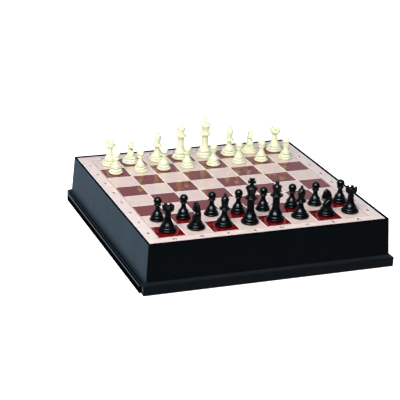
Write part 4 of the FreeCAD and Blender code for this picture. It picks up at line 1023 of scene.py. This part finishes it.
# Each row from the left: file, man, millimetres to the right of and beyond the middle of its square, and turn
# in degrees.
ROWS = {
    ("black", -3.5): [
        ("h", "rook", -0.2, 1.8, 10), ("g", "knight", 1.6, 0.4, 108), ("f", "bishop", 3.4, 1.0, 200),
        ("", "king", 2.5, 0.0, -20), ("", "queen", 1.9, 0.6, 0), ("c", "bishop", 1.2, 1.4, 160),
        ("b", "knight", 2.3, 0.8, 180), ("a", "rook", 0.4, 1.4, 25),
    ],
    ("black", -2.5): pawn_row(
        (-1.0, -2.1, 0.6, 1.1, 0.0, 5.6, 2.6, 3.0), (2.6, 2.2, 2.4, 1.4, 1.4, 2.2, 1.0, 1.4),
    ),
    ("ivory", 2.5): pawn_row(
        (0.2, -0.8, -2.3, -3.3, -0.6, 2.6, 1.0, 2.8), (0.4, -0.8, -0.6, -0.6, -1.4, -1.0, -1.2, -1.0),
    ),
    ("ivory", 3.5): [
        ("h", "rook", 2.2, -1.2, 5), ("g", "knight", -3.3, 0.4, -96), ("f", "bishop", 0.4, 0.0, 20),
        ("", "queen", -0.5, 0.4, 0), ("", "king", 0.2, -0.4, -20), ("c", "bishop", 1.7, -1.2, 150),
        ("b", "knight", -1.5, 0.0, -86), ("a", "rook", 1.2, -1.0, 15),
    ],
}
polished = bpy.data.collections.new("polished")
for (side, row), men in ROWS.items():
    for column, (file, man, aside, beyond, degrees) in enumerate(men):
        node = f"{side}_{man}_{file}" if file else f"{side}_{man}"
        cosine, sine = math.cos(math.radians(degrees)), math.sin(math.radians(degrees))
        turn = np.array([[cosine, -sine, 0], [sine, cosine, 0], [0, 0, 1]])
        spot = np.array([SQUARE * (column - 3.5) + aside, SQUARE * row + beyond, BOARD_TOP])
        skins = [skin(grid @ turn.T + spot) for grid in PATTERNS[man]]
        made = make_piece(f"{node}_man", skins, MEN_FINISHES[side], node, [node], sharp=50)
        polished.objects.link(made)


# Studio: a pale paper floor that runs far past the view, and white beyond it. A large key light and a lower
# fill at the front left give no highlights, and the glint and overhead lights give those of the men alone. A
# grey-blue glow behind, above and below is what the board's gloss and the walls reflect.

FLOOR_HALF = 9
floor_mesh = bpy.data.meshes.new("floor")
floor_corners = [(x * FLOOR_HALF, y * FLOOR_HALF, 0) for x, y in ((-1, -1), (1, -1), (1, 1), (-1, 1))]
floor_mesh.from_pydata(floor_corners, [], [(0, 1, 2, 3)])
floor = bpy.data.objects.new("floor", floor_mesh)
bpy.context.scene.collection.objects.link(floor)
floor_finish, floor_place = new_finish("floor_paper")
set_finish(floor_finish, {
    "Base Color": floor_place.noise(3.0).mix(colour(0.80, 0.80, 0.80), colour(0.82, 0.82, 0.82)),
    "Roughness": 0.9,
    "Emission Color": colour(1.0, 1.0, 1.0),
    "Emission Strength": 1.0,
    "Specular IOR Level": 0.0,
})
floor_mesh.materials.append(floor_finish)
floor.visible_glossy = False

world = bpy.data.worlds.new("studio")
world.use_nodes = True
sky = Shade(world.node_tree)
way_x, way_y, way_up = sky.node("ShaderNodeTexCoord").axes()
low_part = 1.0 - 0.8 * way_up.ramp(0.41, 0.48)
left_part = 1.0 - 0.35 * (0.0 - way_x).ramp(-0.15, 0.1) * way_up.ramp(0.0, 0.3)
behind = way_y.ramp(0.0, 0.5) * low_part * left_part
above = way_up.ramp(0.5, 0.9)
below = (0.0 - way_up).ramp(0.20, 0.40) * 0.4
tint = way_x.ramp(-0.1, 0.2).mix(colour(0.40, 0.54, 0.68), colour(0.52, 0.56, 0.60))
glow = behind.math("MAXIMUM", above).math("MAXIMUM", below).mix(colour(0.012, 0.013, 0.014), tint)
# A Light Path node's first output marks what is looked at directly: past the floor that is plain white.
backdrop = sky.node("ShaderNodeLightPath").mix(glow, colour(1.0, 1.0, 1.0))
sky.fill(world.node_tree.nodes["Background"], {"Color": backdrop, "Strength": 1.0})
bpy.context.scene.world = world


def soft_light(name, place, target, width, height, watts):
    """A soft box: an even rectangle of light at a place, turned to face a target."""
    light = bpy.data.lights.new(name, "AREA")
    light.shape = "RECTANGLE"
    light.size, light.size_y = width, height
    light.energy = watts
    lamp = bpy.data.objects.new(name, light)
    way = Vector(target) - Vector(place)
    lamp.matrix_world = Matrix.Translation(place) @ way.to_track_quat("-Z", "Y").to_matrix().to_4x4()
    bpy.context.scene.collection.objects.link(lamp)
    return lamp


BOARD_MIDDLE = (0.0, 0.0, 0.07)
MEN_MIDDLE = (0.0, 0.0, 0.08)
key_light = soft_light("key", (-0.84, -1.15, 1.62), BOARD_MIDDLE, 1.3, 1.3, 62)
fill_light = soft_light("fill", (-0.95, -2.1, 0.75), MEN_MIDDLE, 1.8, 0.9, 19)
for lamp in (key_light, fill_light):
    lamp.visible_glossy = False
glint_light = soft_light("glint", (-0.76, -1.04, 1.47), BOARD_MIDDLE, 1.3, 0.6, 105)
overhead_light = soft_light("overhead", (-0.42, -0.62, 1.62), BOARD_MIDDLE, 1.5, 0.7, 11)
for lamp in (glint_light, overhead_light):
    lamp.visible_diffuse = False
    lamp.light_linking.receiver_collection = polished


# Camera: where the photograph was taken from, worked out from the corners of the squares. It looks down along
# a heading and a dip, and is rolled by a slight tilt.

CAMERA_PLACE = (-0.71951, -1.72237, 0.77130)
heading, dip, roll = (math.radians(angle) for angle in (21.6164, 21.2197, 2.5398))
forward = Vector((math.sin(heading) * math.cos(dip), math.cos(heading) * math.cos(dip), -math.sin(dip)))
level = forward.cross(Vector((0, 0, 1))).normalized()
upright = level.cross(forward)
right = level * math.cos(roll) + upright * math.sin(roll)
top = right.cross(forward)
camera_data = bpy.data.cameras.new("camera")
camera_data.lens = 125.623
camera_data.sensor_width = 36.0
camera_data.clip_end = 50.0
camera = bpy.data.objects.new("camera", camera_data)
turn = Matrix((right, top, -forward)).transposed().to_4x4()
camera.matrix_world = Matrix.Translation(CAMERA_PLACE) @ turn
bpy.context.scene.collection.objects.link(camera)
bpy.context.scene.camera = camera
bpy.context.scene.view_settings.view_transform = "Standard"
